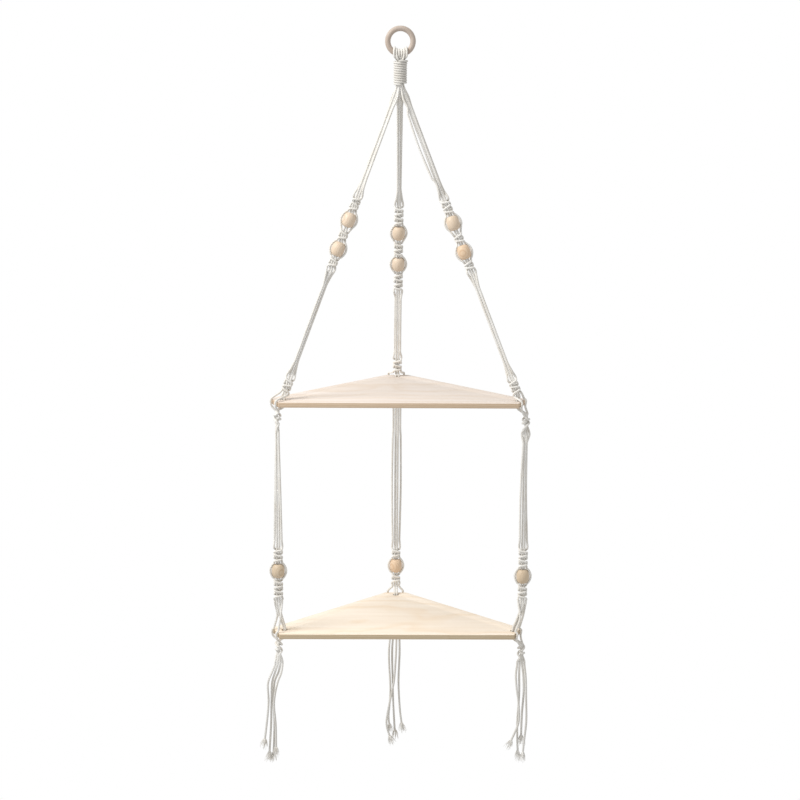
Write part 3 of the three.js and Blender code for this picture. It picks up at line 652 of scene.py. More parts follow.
lower_legs = {corner: lower_leg(corner) for corner in corners}
lower_corners = {corner: lower_corner(corner) for corner in corners}
print("beads on the lower legs:", [name for leg in lower_legs.values() for name, _, _ in leg.beads])

# %% [markdown]
# ## One line from a few points
# A cord bends smoothly through its points, on a centripetal Catmull-Rom curve, whose knots lie apart
# by the root of each step. It passes every point and makes no loops, where a plain spline would. At
# the end of a long straight run even that curve swings out, before the short steps of a knot. So a
# run gets one more point near each such end, which keeps it straight as far as there.

# %% Smooth a way
CORD_STEP = 1.1
STEADY_AT = 5.0
LONG_SHARE = 3.5
CENTRIPETAL = 0.5
LEAST_STEP = 1e-6


def steady(points):
    """The points, and one more near each end of a run that is long beside the step next to it."""
    lengths = np.linalg.norm(np.diff(points[:, :3], axis=0), axis=1)
    steadied = [points[0]]
    for i, length in enumerate(lengths):
        way = (points[i + 1] - points[i]) / length
        if i > 0 and length > LONG_SHARE * max(lengths[i - 1], STEADY_AT):
            steadied.append(points[i] + STEADY_AT * way)
        if i + 1 < len(lengths) and length > LONG_SHARE * max(lengths[i + 1], STEADY_AT):
            steadied.append(points[i + 1] - STEADY_AT * way)
        steadied.append(points[i + 1])
    return np.array(steadied)


def smooth(points, step=CORD_STEP):
    """Points about `step` apart on a smooth curve through `points`, with the radius at each."""
    points = steady(np.array(points, float))
    first = 2 * points[0] - points[1]
    last = 2 * points[-1] - points[-2]
    padded = np.vstack([first, points, last])
    ways = [points[:1]]
    for i in range(len(points) - 1):
        a, b, c, d = padded[i : i + 4]
        steps = [np.linalg.norm(q[:3] - p[:3]) for p, q in ((a, b), (b, c), (c, d))]
        gaps = [max(length, LEAST_STEP) ** CENTRIPETAL for length in steps]
        t0, t1 = 0.0, gaps[0]
        t2, t3 = t1 + gaps[1], t1 + gaps[1] + gaps[2]
        count = max(2, math.ceil(np.linalg.norm(c[:3] - b[:3]) / step))
        t = np.linspace(t1, t2, count + 1)[1:, None]
        ab = (t1 - t) / (t1 - t0) * a + (t - t0) / (t1 - t0) * b
        bc = (t2 - t) / (t2 - t1) * b + (t - t1) / (t2 - t1) * c
        cd = (t3 - t) / (t3 - t2) * c + (t - t2) / (t3 - t2) * d
        abc = (t2 - t) / (t2 - t0) * ab + (t - t0) / (t2 - t0) * bc
        bcd = (t3 - t) / (t3 - t1) * bc + (t - t1) / (t3 - t1) * cd
        ways.append((t2 - t) / (t2 - t1) * abc + (t - t1) / (t2 - t1) * bcd)
    return np.vstack(ways)


def length_of(line):
    return float(np.linalg.norm(np.diff(line[:, :3], axis=0), axis=1).sum())


wrap_line = smooth(wrap_way())
print("collar's cord:", len(wrap_line), "points on", round(length_of(wrap_line)), "mm")

# %% [markdown]
# ## Cotton cord
# The cord is laid from three plies that turn round each other once in about three diameters. That
# could be a bump on a smooth tube, but then the outline would stay smooth, and the plies show at
# the edge of a real cord. So the section has three lobes, and each ring of the tube is turned a
# little further than the one before. A curve's bevel can't turn like that, so the tube is built
# ring by ring.

# %% The cord's section
PLIES = 3
POINTS_A_PLY = 5
LOBE_CENTRE = 0.18
LOBE_RADIUS = 0.82


def ply_section():
    """The section's points, as shares of the cord's radius, from one valley round to the next."""
    section = []
    for ply in range(PLIES):
        for j in range(POINTS_A_PLY):
            off = (j / POINTS_A_PLY - 0.5) * 2 * math.pi / PLIES
            across = LOBE_CENTRE * math.sin(off)
            share = LOBE_CENTRE * math.cos(off) + math.sqrt(LOBE_RADIUS**2 - across**2)
            section.append((2 * math.pi * ply / PLIES + off, share))
    return np.array(section)


SECTION = ply_section()
print("points round a cord:", len(SECTION), "from", SECTION[:, 1].min().round(2), "of its radius")

# %% [markdown]
# ## A tube ring by ring
# Every ring needs two directions across the line. They are carried along it from ring to ring
# without twisting by themselves, so that only the lay turns the plies. The tube gets its UV map
# here too, since how far round and how far along a point lies is known as it is made.

# %% Rings along a line


def frames_along(line, first_across):
    """Two directions across the line at each of its points, carried along it without twist."""
    steps = np.diff(line, axis=0)
    steps /= np.linalg.norm(steps, axis=1)[:, None]
    along = np.vstack([steps[:1], steps[:-1] + steps[1:], steps[-1:]])
    along /= np.linalg.norm(along, axis=1)[:, None]
    across = np.array(first_across, float)
    frames = []
    for direction in along:
        across = across - across.dot(direction) * direction
        across = across / np.linalg.norm(across)
        frames.append(across)
    frames = np.array(frames)
    return along, frames, np.cross(along, frames)


def mesh_from_rings(name, rings):
    """A tube through rings of points, with a UV map: once round it, and metres along it."""
    count, sides = rings.shape[:2]
    vertices = rings.reshape(-1, 3)
    i, j = np.meshgrid(np.arange(count - 1), np.arange(sides), indexing="ij")
    k = (j + 1) % sides
    quads = np.stack([i * sides + j, i * sides + k, (i + 1) * sides + k, (i + 1) * sides + j], axis=-1)
    faces = quads.reshape(-1, 4).tolist()
    faces.append(list(range(sides))[::-1])
    faces.append([(count - 1) * sides + side for side in range(sides)])
    mesh = bpy.data.meshes.new(name)
    mesh.from_pydata(vertices.tolist(), [], faces)
    middle = rings.mean(axis=1)
    along = np.concatenate([[0.0], np.cumsum(np.linalg.norm(np.diff(middle, axis=0), axis=1))])
    u = np.stack([j, j + 1, j + 1, j], axis=-1) / sides
    v = np.stack([along[i], along[i], along[i + 1], along[i + 1]], axis=-1)
    uv = np.zeros((len(mesh.loops), 2))
    uv[: quads.size, 0] = u.reshape(-1)
    uv[: quads.size, 1] = v.reshape(-1)
    layer = mesh.uv_layers.new(name="along_cord")
    layer.data.foreach_set("uv", uv.astype(np.float32).reshape(-1))
    mesh.polygons.foreach_set("use_smooth", [True] * (len(mesh.polygons) - 2) + [False, False])
    mesh.update()
    return mesh


def add_piece(name, mesh):
    piece = bpy.data.objects.new(name, mesh)
    bpy.context.scene.collection.objects.link(piece)
    return piece


print("directions across a line:", len(frames_along(wrap_line[:, :3], (1.0, 0.0, 0.0))[1]), "pairs")

# %% [markdown]
# ## The plies turn
# The section turns once in each length of lay. Where a cord is cut because the shelf bends there,
# two flat ends would show a fine dark line between them, so such an end is closed with half a ball,
# which lies inside the cord that goes on.

# %% The laid cord
LAY_LENGTH = 12.5
DOME_TURNS = (0.35, 0.75, 1.15, 1.45)
DOME_SHARE = 0.97


def domed(ring, centre, outward):
    """Rings that close an end with half a ball, from its rim to its tip."""
    rings = []
    for turn in DOME_TURNS:
        middle = centre[:3] + outward * centre[3] * math.sin(turn)
        rings.append(middle + (ring - centre[:3]) * DOME_SHARE * math.cos(turn))
    return np.array(rings)


def laid_cord(name, line, first_ply=(1.0, 0.0, 0.0), domes=()):
    """
    A cord of three plies along `line` in mm, with half a ball past its "start", its "end" or both,
    where it meets another. Gives the piece, its line in metres and its last ply.
    """
    along, across, other = frames_along(line[:, :3], first_ply)
    steps = np.linalg.norm(np.diff(line[:, :3], axis=0), axis=1)
    turn = 2 * math.pi * np.concatenate([[0.0], np.cumsum(steps)]) / LAY_LENGTH
    angle = SECTION[None, :, 0] + turn[:, None]
    radius = SECTION[None, :, 1] * line[:, 3, None]
    rings = line[:, None, :3]
    rings = rings + (radius * np.cos(angle))[:, :, None] * across[:, None, :]
    rings = rings + (radius * np.sin(angle))[:, :, None] * other[:, None, :]
    if "start" in domes:
        rings = np.vstack([domed(rings[0], line[0], -along[0])[::-1], rings])
    if "end" in domes:
        rings = np.vstack([rings, domed(rings[-1], line[-1], along[-1])])
    piece = add_piece(name, mesh_from_rings(name, rings * MM))
    last_ply = math.cos(turn[-1]) * across[-1] + math.sin(turn[-1]) * other[-1]
    return piece, line[:, :3] * MM, last_ply


print("turns in a metre of cord:", round(1 / (LAY_LENGTH * MM)))

# %% [markdown]
# ## Nodes in one line each
# A material is a tree of small nodes. It could be joined up by hand in the editor, but then nobody
# could read it here. A few short helpers add a node with its settings and join it to what feeds it,
# so that each finish below reads like a recipe.

# %% Node helpers
PLAIN = (1.0, 1.0, 1.0)


def add_node(tree, kind, settings=(), **inputs):
    """A node of that kind. An input is a value, or the output of another node."""
    made = tree.nodes.new(kind)
    for key, value in dict(settings).items():
        setattr(made, key, value)
    for key, value in inputs.items():
        socket = made.inputs[int(key[1:])] if key[1:].isdigit() else made.inputs[key.replace("_", " ")]
        if isinstance(value, bpy.types.NodeSocket):
            tree.links.new(value, socket)
        else:
            socket.default_value = value
    return made


def reckon(tree, operation, *values):
    """One sum on numbers or on the outputs of other nodes."""
    inputs = {f"_{i}": value for i, value in enumerate(values)}
    return add_node(tree, "ShaderNodeMath", {"operation": operation}, **inputs).outputs[0]


def tinted(tree, colour, tint, factor=1.0):
    """The colour times the tint, by as much as `factor` says."""
    settings = {"data_type": "RGBA", "blend_type": "MULTIPLY"}
    return add_node(tree, "ShaderNodeMix", settings, _0=factor, _6=colour, _7=tint).outputs[2]


def dented(tree, shader, height, strength, depth):
    bump = add_node(tree, "ShaderNodeBump", Strength=strength, Distance=depth, Height=height)
    tree.links.new(bump.outputs["Normal"], shader.inputs["Normal"])


def ramp(tree, factor, stops):
    """A colour ramp over `stops`, each a position and a colour."""
    made = add_node(tree, "ShaderNodeValToRGB", Fac=factor)
    elements = made.color_ramp.elements
    while len(elements) < len(stops):
        elements.new(0.5)
    for element, (position, colour) in zip(elements, stops):
        element.position = position
        element.color = (*colour, 1.0)
    return made.outputs["Color"]


def new_finish(name, **settings):
    """A material with one Principled shader, whose plain settings are given by name."""
    material = bpy.data.materials.new(name)
    material.use_nodes = True
    tree = material.node_tree
    shader = tree.nodes["Principled BSDF"]
    for key, value in settings.items():
        shader.inputs[key.replace("_", " ")].default_value = value
    return material, tree, shader


print("helpers:", ", ".join(h.__name__ for h in (add_node, reckon, tinted, dented, ramp, new_finish)))

# %% [markdown]
# ## The cotton's finish
# Cotton cord is off-white and quite matt, with a soft bloom of fine fibres that a little sheen
# gives. Its yarns run almost straight along the cord. So the noise for them is stretched along the
# UV map, and it tints and dents the surface. The valleys between the plies are a shade darker:
# painted shade, where the plies shade each other, and a little dust. Long patches vary a little in
# warmth. The collar is a shade darker all over. The tassels darken from just under their knots, as
# painted shade, since the lower board keeps the light from above off them.

# %% Cotton
COTTON_LIGHT = (0.93, 0.915, 0.875)
COTTON_MIDDLE = (0.9, 0.88, 0.835)
COTTON_DARK = (0.83, 0.8, 0.745)
# Painted shade with a little dust, for the valleys between the plies
COTTON_VALLEY_SHADE = (0.74, 0.7, 0.635)
COTTON_WARM = (0.93, 0.91, 0.88)
USUAL_SHADE = 0.93
# A shade darker: the collar's cotton all over, and the tassels' as painted shade under the lower board
DARKER_SHADE = 0.8
FADE_LENGTH = 0.07
YARN_STRETCH = (60.0, 260.0, 1.0)
YARN_DENT = 0.0002
PATCH_SCALE = 35.0
VALLEY_SHADE_START = 0.36
VALLEY_SHADE_DEPTH = 0.38


def shaded(colour, shade):
    return tuple(shade * part for part in colour)


def make_cotton(name, shade, end_shade=None):
    """Cotton in one shade, or in one that turns into `end_shade` over the cord's first part."""
    light, middle, dark = [shaded(c, shade) for c in (COTTON_LIGHT, COTTON_MIDDLE, COTTON_DARK)]
    material, tree, shader = new_finish(
        name, Roughness=0.95, Specular_IOR_Level=0.2, Sheen_Weight=0.25, Sheen_Roughness=0.6
    )
    uv = add_node(tree, "ShaderNodeUVMap", {"uv_map": "along_cord"}).outputs["UV"]
    stretched = add_node(tree, "ShaderNodeMapping", Vector=uv, Scale=YARN_STRETCH).outputs["Vector"]
    yarn = add_node(
        tree, "ShaderNodeTexNoise", Vector=stretched, Scale=1.0, Detail=3.0, Roughness=0.6
    ).outputs["Fac"]
    yarn_colour = ramp(tree, yarn, [(0.28, dark), (0.46, middle), (0.62, light)])
    split = add_node(tree, "ShaderNodeSeparateXYZ", Vector=uv)
    ply = reckon(tree, "FRACT", reckon(tree, "MULTIPLY", split.outputs["X"], float(PLIES)))
    off_crest = reckon(tree, "ABSOLUTE", reckon(tree, "SUBTRACT", ply, 0.5))
    # Painted shade, with a little dust: the valleys between the plies are darkened where the plies shade
    # each other
    valley = add_node(
        tree, "ShaderNodeMapRange", {"interpolation_type": "SMOOTHSTEP"}, Value=off_crest,
        From_Min=VALLEY_SHADE_START, From_Max=0.5, To_Min=0.0, To_Max=VALLEY_SHADE_DEPTH,
    ).outputs["Result"]
    laid = add_node(
        tree, "ShaderNodeMix", {"data_type": "RGBA"}, _0=valley, _6=yarn_colour,
        _7=(*shaded(COTTON_VALLEY_SHADE, shade), 1.0),
    ).outputs[2]
    place = add_node(tree, "ShaderNodeTexCoord").outputs["Object"]
    patches = add_node(tree, "ShaderNodeTexNoise", Vector=place, Scale=PATCH_SCALE, Detail=2.0)
    tone = ramp(tree, patches.outputs["Fac"], [(0.35, COTTON_WARM), (0.65, PLAIN)])
    toned = tinted(tree, laid, tone)
    # Painted shade: the tassels darken over their first part, as the lower board keeps the light from above
    # off them
    if end_shade:
        tassel_painted_shade = add_node(
            tree, "ShaderNodeMapRange", Value=split.outputs["Y"], From_Min=0.0, From_Max=FADE_LENGTH,
            To_Min=1.0, To_Max=end_shade / shade,
        ).outputs["Result"]
        toned = tinted(tree, toned, tassel_painted_shade)
    tree.links.new(toned, shader.inputs["Base Color"])
    dented(tree, shader, yarn, strength=0.25, depth=YARN_DENT)
    return material


cotton = make_cotton("cotton", USUAL_SHADE)
collar_cotton = make_cotton("cotton_collar", DARKER_SHADE)
tassel_cotton = make_cotton("cotton_tassel", USUAL_SHADE, DARKER_SHADE)
print("finishes:", cotton.name, collar_cotton.name, tassel_cotton.name)

# %% [markdown]
# ## Hang the upper cords
# Each cord is made along its way and takes the place of its plain solid. The collar's cord is made a
# little thicker than its solid, as thick as the winding's pitch and a touch more, so that its turns
# press on each other as they do where a hand has pulled them tight.

# %% The cords from the ring to the upper board
SNUG_SHARE = 1.03
cord_lengths = {}


def stand_for(piece, node, finish=cotton):
    """The piece takes its node's place and the finish of cord."""
    piece.data.materials.append(finish)
    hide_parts(node)


def dress(piece, node, body, finish=cotton):
    """The same for a piece that moves with one body all the way."""
    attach(piece, body)
    stand_for(piece, node, finish)


def make_folded_cords():
    """The six folded cords, and the side of the first ply where each of the twelve runs ends."""
    runs = {}
    for corner, places in bridle_cords.items():
        for place, run in places.items():
            runs[run] = (corner, place)
    plies = {}
    for number in range(1, FOLDED_CORDS + 1):
        front, back = runs[(number, -1)], runs[(number, 1)]
        up = bridles[front[0]].cords[front[1]][::-1]
        down = bridles[back[0]].cords[back[1]]
        way = up + collar_way(number, -1) + collar_way(number, 1)[-2::-1] + down
        name = f"folded_cord_{number}_laid"
        piece, line, last_ply = laid_cord(name, smooth(way), domes=("start", "end"))
        cord_lengths[piece.name] = length_of(line)
        plies[front] = np.array([1.0, 0.0, 0.0])
        plies[back] = last_ply
        dress(piece, f"folded_cord_{number}", "upper_tier")
    return plies


plies = make_folded_cords()
wrap_line[:, 3] = SNUG_SHARE * WRAP_PITCH / 2
wrap, _, _ = laid_cord("gathering_wrap_laid", wrap_line, domes=("start", "end"))
dress(wrap, "gathering_wrap", "upper_tier", collar_cotton)
print("folded cords in m:", {name: round(length, 3) for name, length in cord_lengths.items()})

# %% [markdown]
# ## Hang the lower cords
# A cord that is cut where the shelf bends goes on with its plies where the one above left off, so
# the cut can't be seen.


def bend_from(piece):
    """Bakes the piece's place into its mesh."""
    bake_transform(piece)


def make_lower_cords():
    for corner in corners:
        for place in ("left", "right", "front", "back"):
            node = f"lower_leg_{corner}_{place}"
            way = lower_legs[corner].cords[place]
            first_ply = plies[(corner, place)]
            piece, line, last_ply = laid_cord(f"{node}_laid", smooth(way), first_ply, ("end",))
            cord_lengths[piece.name] = length_of(line)
            bend_from(piece)
            stand_for(piece, node)
            node = f"corner_cord_{corner}_{place}"
            way = lower_corners[corner].cords[place]
            name = f"{node}_laid"
            piece, line, last_ply = laid_cord(name, smooth(way), last_ply, ("start", "end"))
            plies[(corner, place)] = last_ply
            cord_lengths[piece.name] = length_of(line)
            dress(piece, node, "lower_tier")


make_lower_cords()
print("cords so far:", len(cord_lengths))

# %% [markdown]
# ## The frayed ends
# At a cut end the plies come apart, and the yarns stand out like a worn brush. Hair could do it, but
# it can't be exported. So each yarn is a thin tapered tube that starts inside the cord, leans out
# and is drawn down again by its weight. The draws are seeded, so every run gives the same ends.

# %% Yarns at a cord's end
FRAY_LENGTH = 13.0
FRAY_YARNS = 40
YARN_RADIUS = 0.45
YARN_BOW = 0.3
YARN_SET_IN = 2.5
YARN_STEPS = 6
YARN_SIDES = 4
YARN_STRIP = 0.01
YARN_ROW = 0.002
yarn_shares = {
    "start": 0.75, "lean": 0.15, "outer_lean": 0.95, "least_lean": 0.3,
    "shortest": 0.65, "longest": 1.45, "droop": 0.45, "waves": 1.6, "taper": 0.55,
}


def yarn_line(draws, end, direction, side, other):
    """One yarn's points and radii from inside the cord to its tip, and which way it leans."""
    angle = draws.uniform(0, 2 * math.pi)
    place = CORD_RADIUS * yarn_shares["start"] * math.sqrt(draws.uniform())
    spread = yarn_shares["outer_lean"] * place / CORD_RADIUS
    lean = yarn_shares["lean"] + spread * draws.uniform(yarn_shares["least_lean"], 1.0)
    length = FRAY_LENGTH * draws.uniform(yarn_shares["shortest"], yarn_shares["longest"])
    bow = draws.uniform(-YARN_BOW, YARN_BOW)
    outward = math.cos(angle) * side + math.sin(angle) * other
    sideways = np.cross(direction, outward)
    points = []
    for step in range(YARN_STEPS + 1):
        t = step / YARN_STEPS
        out = place + lean * length * (t - yarn_shares["droop"] * t * t)
        wave = bow * math.sin(math.pi * yarn_shares["waves"] * t)
        at = end + (t * length - YARN_SET_IN) * direction + out * outward + wave * sideways
        points.append((*at, YARN_RADIUS * (1.0 - yarn_shares["taper"] * t)))
    return np.array(points), outward


def yarn_tube(points, outward, first):
    """The tube's vertices in metres, and its faces, whose vertices count on from `first`."""
    _, across, third = frames_along(points[:, :3], outward)
    vertices = []
    faces = []
    for step in range(YARN_STEPS + 1):
        for k in range(YARN_SIDES):
            turn = 2 * math.pi * k / YARN_SIDES
            rim = math.cos(turn) * across[step] + math.sin(turn) * third[step]
            vertices.append(tuple((points[step, :3] + points[step, 3] * rim) * MM))
    for step in range(YARN_STEPS):
        for k in range(YARN_SIDES):
            a = first + step * YARN_SIDES
            n = (k + 1) % YARN_SIDES
            faces.append((a + k, a + n, a + YARN_SIDES + n, a + YARN_SIDES + k))
    last = first + YARN_STEPS * YARN_SIDES
    faces.append(tuple(range(first + YARN_SIDES - 1, first - 1, -1)))
    faces.append(tuple(range(last, last + YARN_SIDES)))
    return vertices, faces


def yarn_map(yarn):
    """The UV map of one yarn: a narrow strip of its own, the same on each of its sides."""
    u = yarn / FRAY_YARNS + YARN_STRIP
    corners_of_face = (0, 0, 1, 1)
    rows = [step + s for step in range(YARN_STEPS) for s in corners_of_face * YARN_SIDES]
    return [(u, row * YARN_ROW) for row in rows] + [(u, 0.0)] * (2 * YARN_SIDES)


def frayed_end(name, end, direction, draws):
    """The yarns that stand out of a cord's end, in one mesh. `end` is in mm."""
    side = np.cross(direction, [0.0, 1.0, 0.0])
    side /= np.linalg.norm(side)
    other = np.cross(direction, side)
    vertices = []
    faces = []
    uvs = []
    for yarn in range(FRAY_YARNS):
        points, outward = yarn_line(draws, end, direction, side, other)
        more_vertices, more_faces = yarn_tube(points, outward, len(vertices))
        vertices += more_vertices
        faces += more_faces
        uvs += yarn_map(yarn)
    mesh = bpy.data.meshes.new(name)
    mesh.from_pydata(vertices, [], faces)
    layer = mesh.uv_layers.new(name="along_cord")
    layer.data.foreach_set("uv", np.array(uvs, np.float32).reshape(-1))
    mesh.polygons.foreach_set("use_smooth", [True] * len(mesh.polygons))
    mesh.update()
    return add_piece(name, mesh)


print("yarns at an end:", FRAY_YARNS, "of about", FRAY_LENGTH, "mm")

# %% [markdown]
# ## Where the loose ends hang
# No two loose ends hang alike, and no rule would give their bends. So each has a few points of its
# own, listed one by one, and the same smooth line runs through them as for every other cord.

# %% The tassels' ways
# How far right of the leg's line, behind it and below the board each loose end passes
tassel_ways = {
    "left": [
        [[-12, -2, 74], [-18.5, -3, 92], [-18, -3, 127], [-21.5, -4, 167], [-26.5, -5, 208]],
        [[-6.5, 0, 74], [-11.5, 0.5, 92], [-13, 0.5, 127], [-14, 0, 167], [-18, -2, 233]],
        [[-0.5, 3.5, 74], [-7.5, 5, 92], [-10, 5, 127], [-8.5, 4.5, 167], [-11, 3.5, 236]],
        [[4, -2.5, 74], [-2.5, -4.2, 92], [-8.5, -5, 127], [-6, -5.5, 167], [-5.5, -5, 223]],
    ],
    "right": [
        [[-8, -1, 77], [-6, -2, 105], [-3, -3.5, 125], [-2, -4.5, 162], [-8.5, -4, 182], [-20, -3, 209]],
        [[-2.2, 2, 77], [-1.5, 2.5, 109], [-2.2, 2.5, 130], [-3.9, 1.5, 162], [-3, 1, 200], [-1.3, 0, 231]],
        [[4.6, 1.5, 77], [6.2, 2.5, 109], [4.2, 3, 145], [3.4, 2.5, 175], [3.2, 2, 204]],
        [[8.8, -1, 82], [10.4, -2, 127], [11.3, -2, 162], [8, -2.5, 200], [5.4, -3, 233]],
    ],
    "apex": [
        [[-11.5, -1, 110], [-8.5, -1.5, 188], [-10, -2, 215], [-11.5, -2, 240], [-8, -2, 266]],
        [[-5.5, 2.5, 110], [-4.5, 3.5, 165], [-3.4, 4, 205], [-1.5, 3, 240], [1, 2, 279]],
        [
            [1.5, -2.5, 110], [-1.8, -4.5, 165], [-4.6, -7, 182], [-14.5, -8, 235], [-15, -8, 252],
            [-5, -6, 287],
        ],
        [[8, 0.5, 110], [6.3, 0.5, 170], [8, 0, 208], [10.7, -1, 238], [15, -1.5, 264]],
    ],
}


def tassel_way(corner, number):
    across = number * PITCH - SIDE_BY_SIDE
    way = [[across, 0, TASSEL_TOP], [across, 0, TASSEL_TOP + CORD_RADIUS]]
    hang = corners[corner]["hang"]
    points = []
    for x, behind, below in way + tassel_ways[corner][number]:
        points.append((hang[0] + x, hang[1] + behind, LOWER_SHELF_TOP - below, CORD_RADIUS))
    return points


print("loose ends:", {corner: len(ends) for corner, ends in tassel_ways.items()})

# %% [markdown]
# ## The tassels
# Each loose end is a free cord that hangs by its own weight, with its fray at its tip. It goes on
# from the cord above it.

# %% Hang the tassels
DRAWS_SEED = 7
TIP_POINTS = 4


def cut_back(line, length):
    """The line without its last `length`, in the line's own unit."""
    steps = np.linalg.norm(np.diff(line[:, :3], axis=0), axis=1)
    from_end = np.concatenate([np.cumsum(steps[::-1])[::-1], [0.0]])
    return line[from_end >= length]


def order_at_tassel(corner):
    """Which of a leg's four cords comes out at each of the tassel's four places, left to right."""
    ends = {place: cord[-1][0] for place, cord in lower_corners[corner].cords.items()}
    return sorted(ends, key=ends.get)


def make_tassels():
    draws = np.random.default_rng(DRAWS_SEED)
    for corner in corners:
        for number, place in enumerate(order_at_tassel(corner)):
            node = f"tassel_{corner}_{number + 1}"
            way = smooth(tassel_way(corner, number))
            whole = length_of(way)
            way = cut_back(way, FRAY_LENGTH)
            piece, line, _ = laid_cord(f"{node}_laid", way, plies[(corner, place)], ("end",))
            direction = line[-1] - line[-TIP_POINTS]
            direction /= np.linalg.norm(direction)
            fray = frayed_end(f"{node}_fray", line[-1] / MM, direction, draws)
            fray.data.materials.append(cotton)
            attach(fray, f"tassel_{corner}")
            bend_from(piece)
            stand_for(piece, node, tassel_cotton)
            print(node, "whole", round(whole * MM, 3), "laid", round(length_of(line), 3))


make_tassels()

# %% [markdown]
# ## Wood
# All the wood here is bare and fine-grained. A tree's growth rings are shells round its heart, so a
# solid texture of shells, with the heart's place chosen for each piece, gives straight lines on a
# board's top, arcs on its cut ends and the right turn from one face to the next.

# %% Wood
FIBRE_STRETCH = 0.08
FIBRE_SCALE = 1600.0
FIBRE_DENT = 0.0002
GRAIN_SHARE = 0.5
TONE_SCALE = 60.0
TONE_WARM = (0.93, 0.9, 0.86)
# Where in a year's growth it starts, the pale wood ends, the dark line is darkest, and it ends
YEAR_STOPS = (0.0, 0.55, 0.86, 0.97)
RING_WANDER = 2.6
WANDER_SCALE = 7.0


def make_wood(name, pale, ring, dark, heart, ring_width, along, roughness):
    """Bare wood whose trunk runs along `along` (0 for X, 1 for Y, 2 for Z) beside a heart at `heart`."""
    material, tree, shader = new_finish(name, Roughness=roughness, Specular_IOR_Level=0.35)
    place = add_node(tree, "ShaderNodeAttribute", {"attribute_name": "own_place"}).outputs["Vector"]
    moved = add_node(tree, "ShaderNodeVectorMath", {"operation": "SUBTRACT"}, _0=place, _1=heart)
    split = add_node(tree, "ShaderNodeSeparateXYZ", Vector=moved.outputs[0])
    sides = [split.outputs[i] for i in range(3) if i != along]
    flat = add_node(tree, "ShaderNodeCombineXYZ", X=sides[0], Y=sides[1]).outputs[0]
    radius = add_node(tree, "ShaderNodeVectorMath", {"operation": "LENGTH"}, _0=flat).outputs["Value"]
    wander = add_node(tree, "ShaderNodeTexNoise", Vector=place, Scale=WANDER_SCALE, Detail=2.0)
    years = reckon(tree, "DIVIDE", radius, ring_width)
    bent = reckon(tree, "MULTIPLY_ADD", wander.outputs["Fac"], RING_WANDER, years)
    year = reckon(tree, "FRACT", bent)
    rings = ramp(tree, year, list(zip(YEAR_STOPS, (pale, pale, ring, pale))))
    stretch = [1.0, 1.0, 1.0]
    stretch[along] = FIBRE_STRETCH
    grain = add_node(
        tree, "ShaderNodeVectorMath", {"operation": "MULTIPLY"}, _0=place, _1=stretch
    ).outputs[0]
    fibres = add_node(
        tree, "ShaderNodeTexNoise", Vector=grain, Scale=FIBRE_SCALE, Detail=4.0, Roughness=0.65
    ).outputs["Fac"]
    fibre_colour = ramp(tree, fibres, [(0.3, dark), (0.6, PLAIN)])
    grained = tinted(tree, rings, fibre_colour, GRAIN_SHARE)
    patches = add_node(tree, "ShaderNodeTexNoise", Vector=grain, Scale=TONE_SCALE, Detail=2.0)
    tone = ramp(tree, patches.outputs["Fac"], [(0.3, TONE_WARM), (0.7, PLAIN)])
    tree.links.new(tinted(tree, grained, tone), shader.inputs["Base Color"])
    dented(tree, shader, fibres, strength=0.15, depth=FIBRE_DENT)
    return material


def keep_own_place(piece):
    """Stores each point's place as the piece lay when it was made, so that its grain goes with it."""
    co = np.zeros(len(piece.data.vertices) * 3)
    piece.data.vertices.foreach_get("co", co)
    attribute = piece.data.attributes.new("own_place", "FLOAT_VECTOR", "POINT")
    attribute.data.foreach_set("vector", co.astype(np.float32))


print("grain is", round(1 / FIBRE_STRETCH, 1), "times as long as it is wide")

# %% [markdown]
# ## Each piece's wood
# The boards are pine, the upper one greyer than the lower one. A sawn edge is rougher than a planed
# face and darker, so a board has a second, darker finish from the same tree for its upright edges.
# Part of that darkness is the sawn wood's own and part is painted shade, as the light from above
# falls less on the edges. Ring and beads are beech or a wood like it, and the beads come in three
# tints, as from a mixed bag.

# %% Pine, beech and bead wood


def make_pine(name, planed, sawn, heart, ring_width):
    """The finish of a board's planed faces and that of its sawn edges, each from pale and ring. The edges'
    finish is darker, partly as sawn wood is and partly as painted shade.
    """
    from_tree = {"heart": heart, "ring_width": ring_width, "along": 0}
    face = make_wood(f"pine_{name}", *planed, (0.94, 0.91, 0.87), roughness=0.55, **from_tree)
    edge = make_wood(f"pine_{name}_sawn", *sawn, (0.84, 0.78, 0.7), roughness=0.65, **from_tree)
    return face, edge


# The sawn colours are darker partly as the sawn wood is, and partly as painted shade from the light above
upper_pine = make_pine(
    "upper", planed=((0.81, 0.725, 0.655), (0.785, 0.68, 0.585)),
    sawn=((0.68, 0.54, 0.4), (0.57, 0.43, 0.29)), heart=(0.0, 0.05, 0.09), ring_width=0.0032,
)
lower_pine = make_pine(
    "lower", planed=((0.96, 0.855, 0.725), (0.93, 0.795, 0.635)),
    sawn=((0.585, 0.485, 0.345), (0.49, 0.38, 0.24)), heart=(0.0, -0.02, 0.07), ring_width=0.0036,
)
bead_tints = {
    "pale": ((0.78, 0.655, 0.52), (0.68, 0.54, 0.405)),
    "warm": ((0.8, 0.62, 0.445), (0.7, 0.5, 0.335)),
    "brown": ((0.68, 0.565, 0.42), (0.58, 0.45, 0.31)),
}
bead_woods = {
    tint: make_wood(
        f"bead_wood_{tint}", pale=pale, ring=ring, dark=(0.82, 0.74, 0.64),
        heart=(0.012, 0.004, 0.0), ring_width=0.0022, along=2, roughness=0.45,
    )
    for tint, (pale, ring) in bead_tints.items()
}
beech = make_wood(
    "beech", pale=(0.55, 0.475, 0.415), ring=(0.47, 0.39, 0.33), dark=(0.75, 0.66, 0.58),
    heart=(0.05, 0.02, 0.0), ring_width=0.0019, along=2, roughness=0.5,
)
print("woods:", *(wood.name for wood in (*upper_pine, *lower_pine, *bead_woods.values(), beech)))

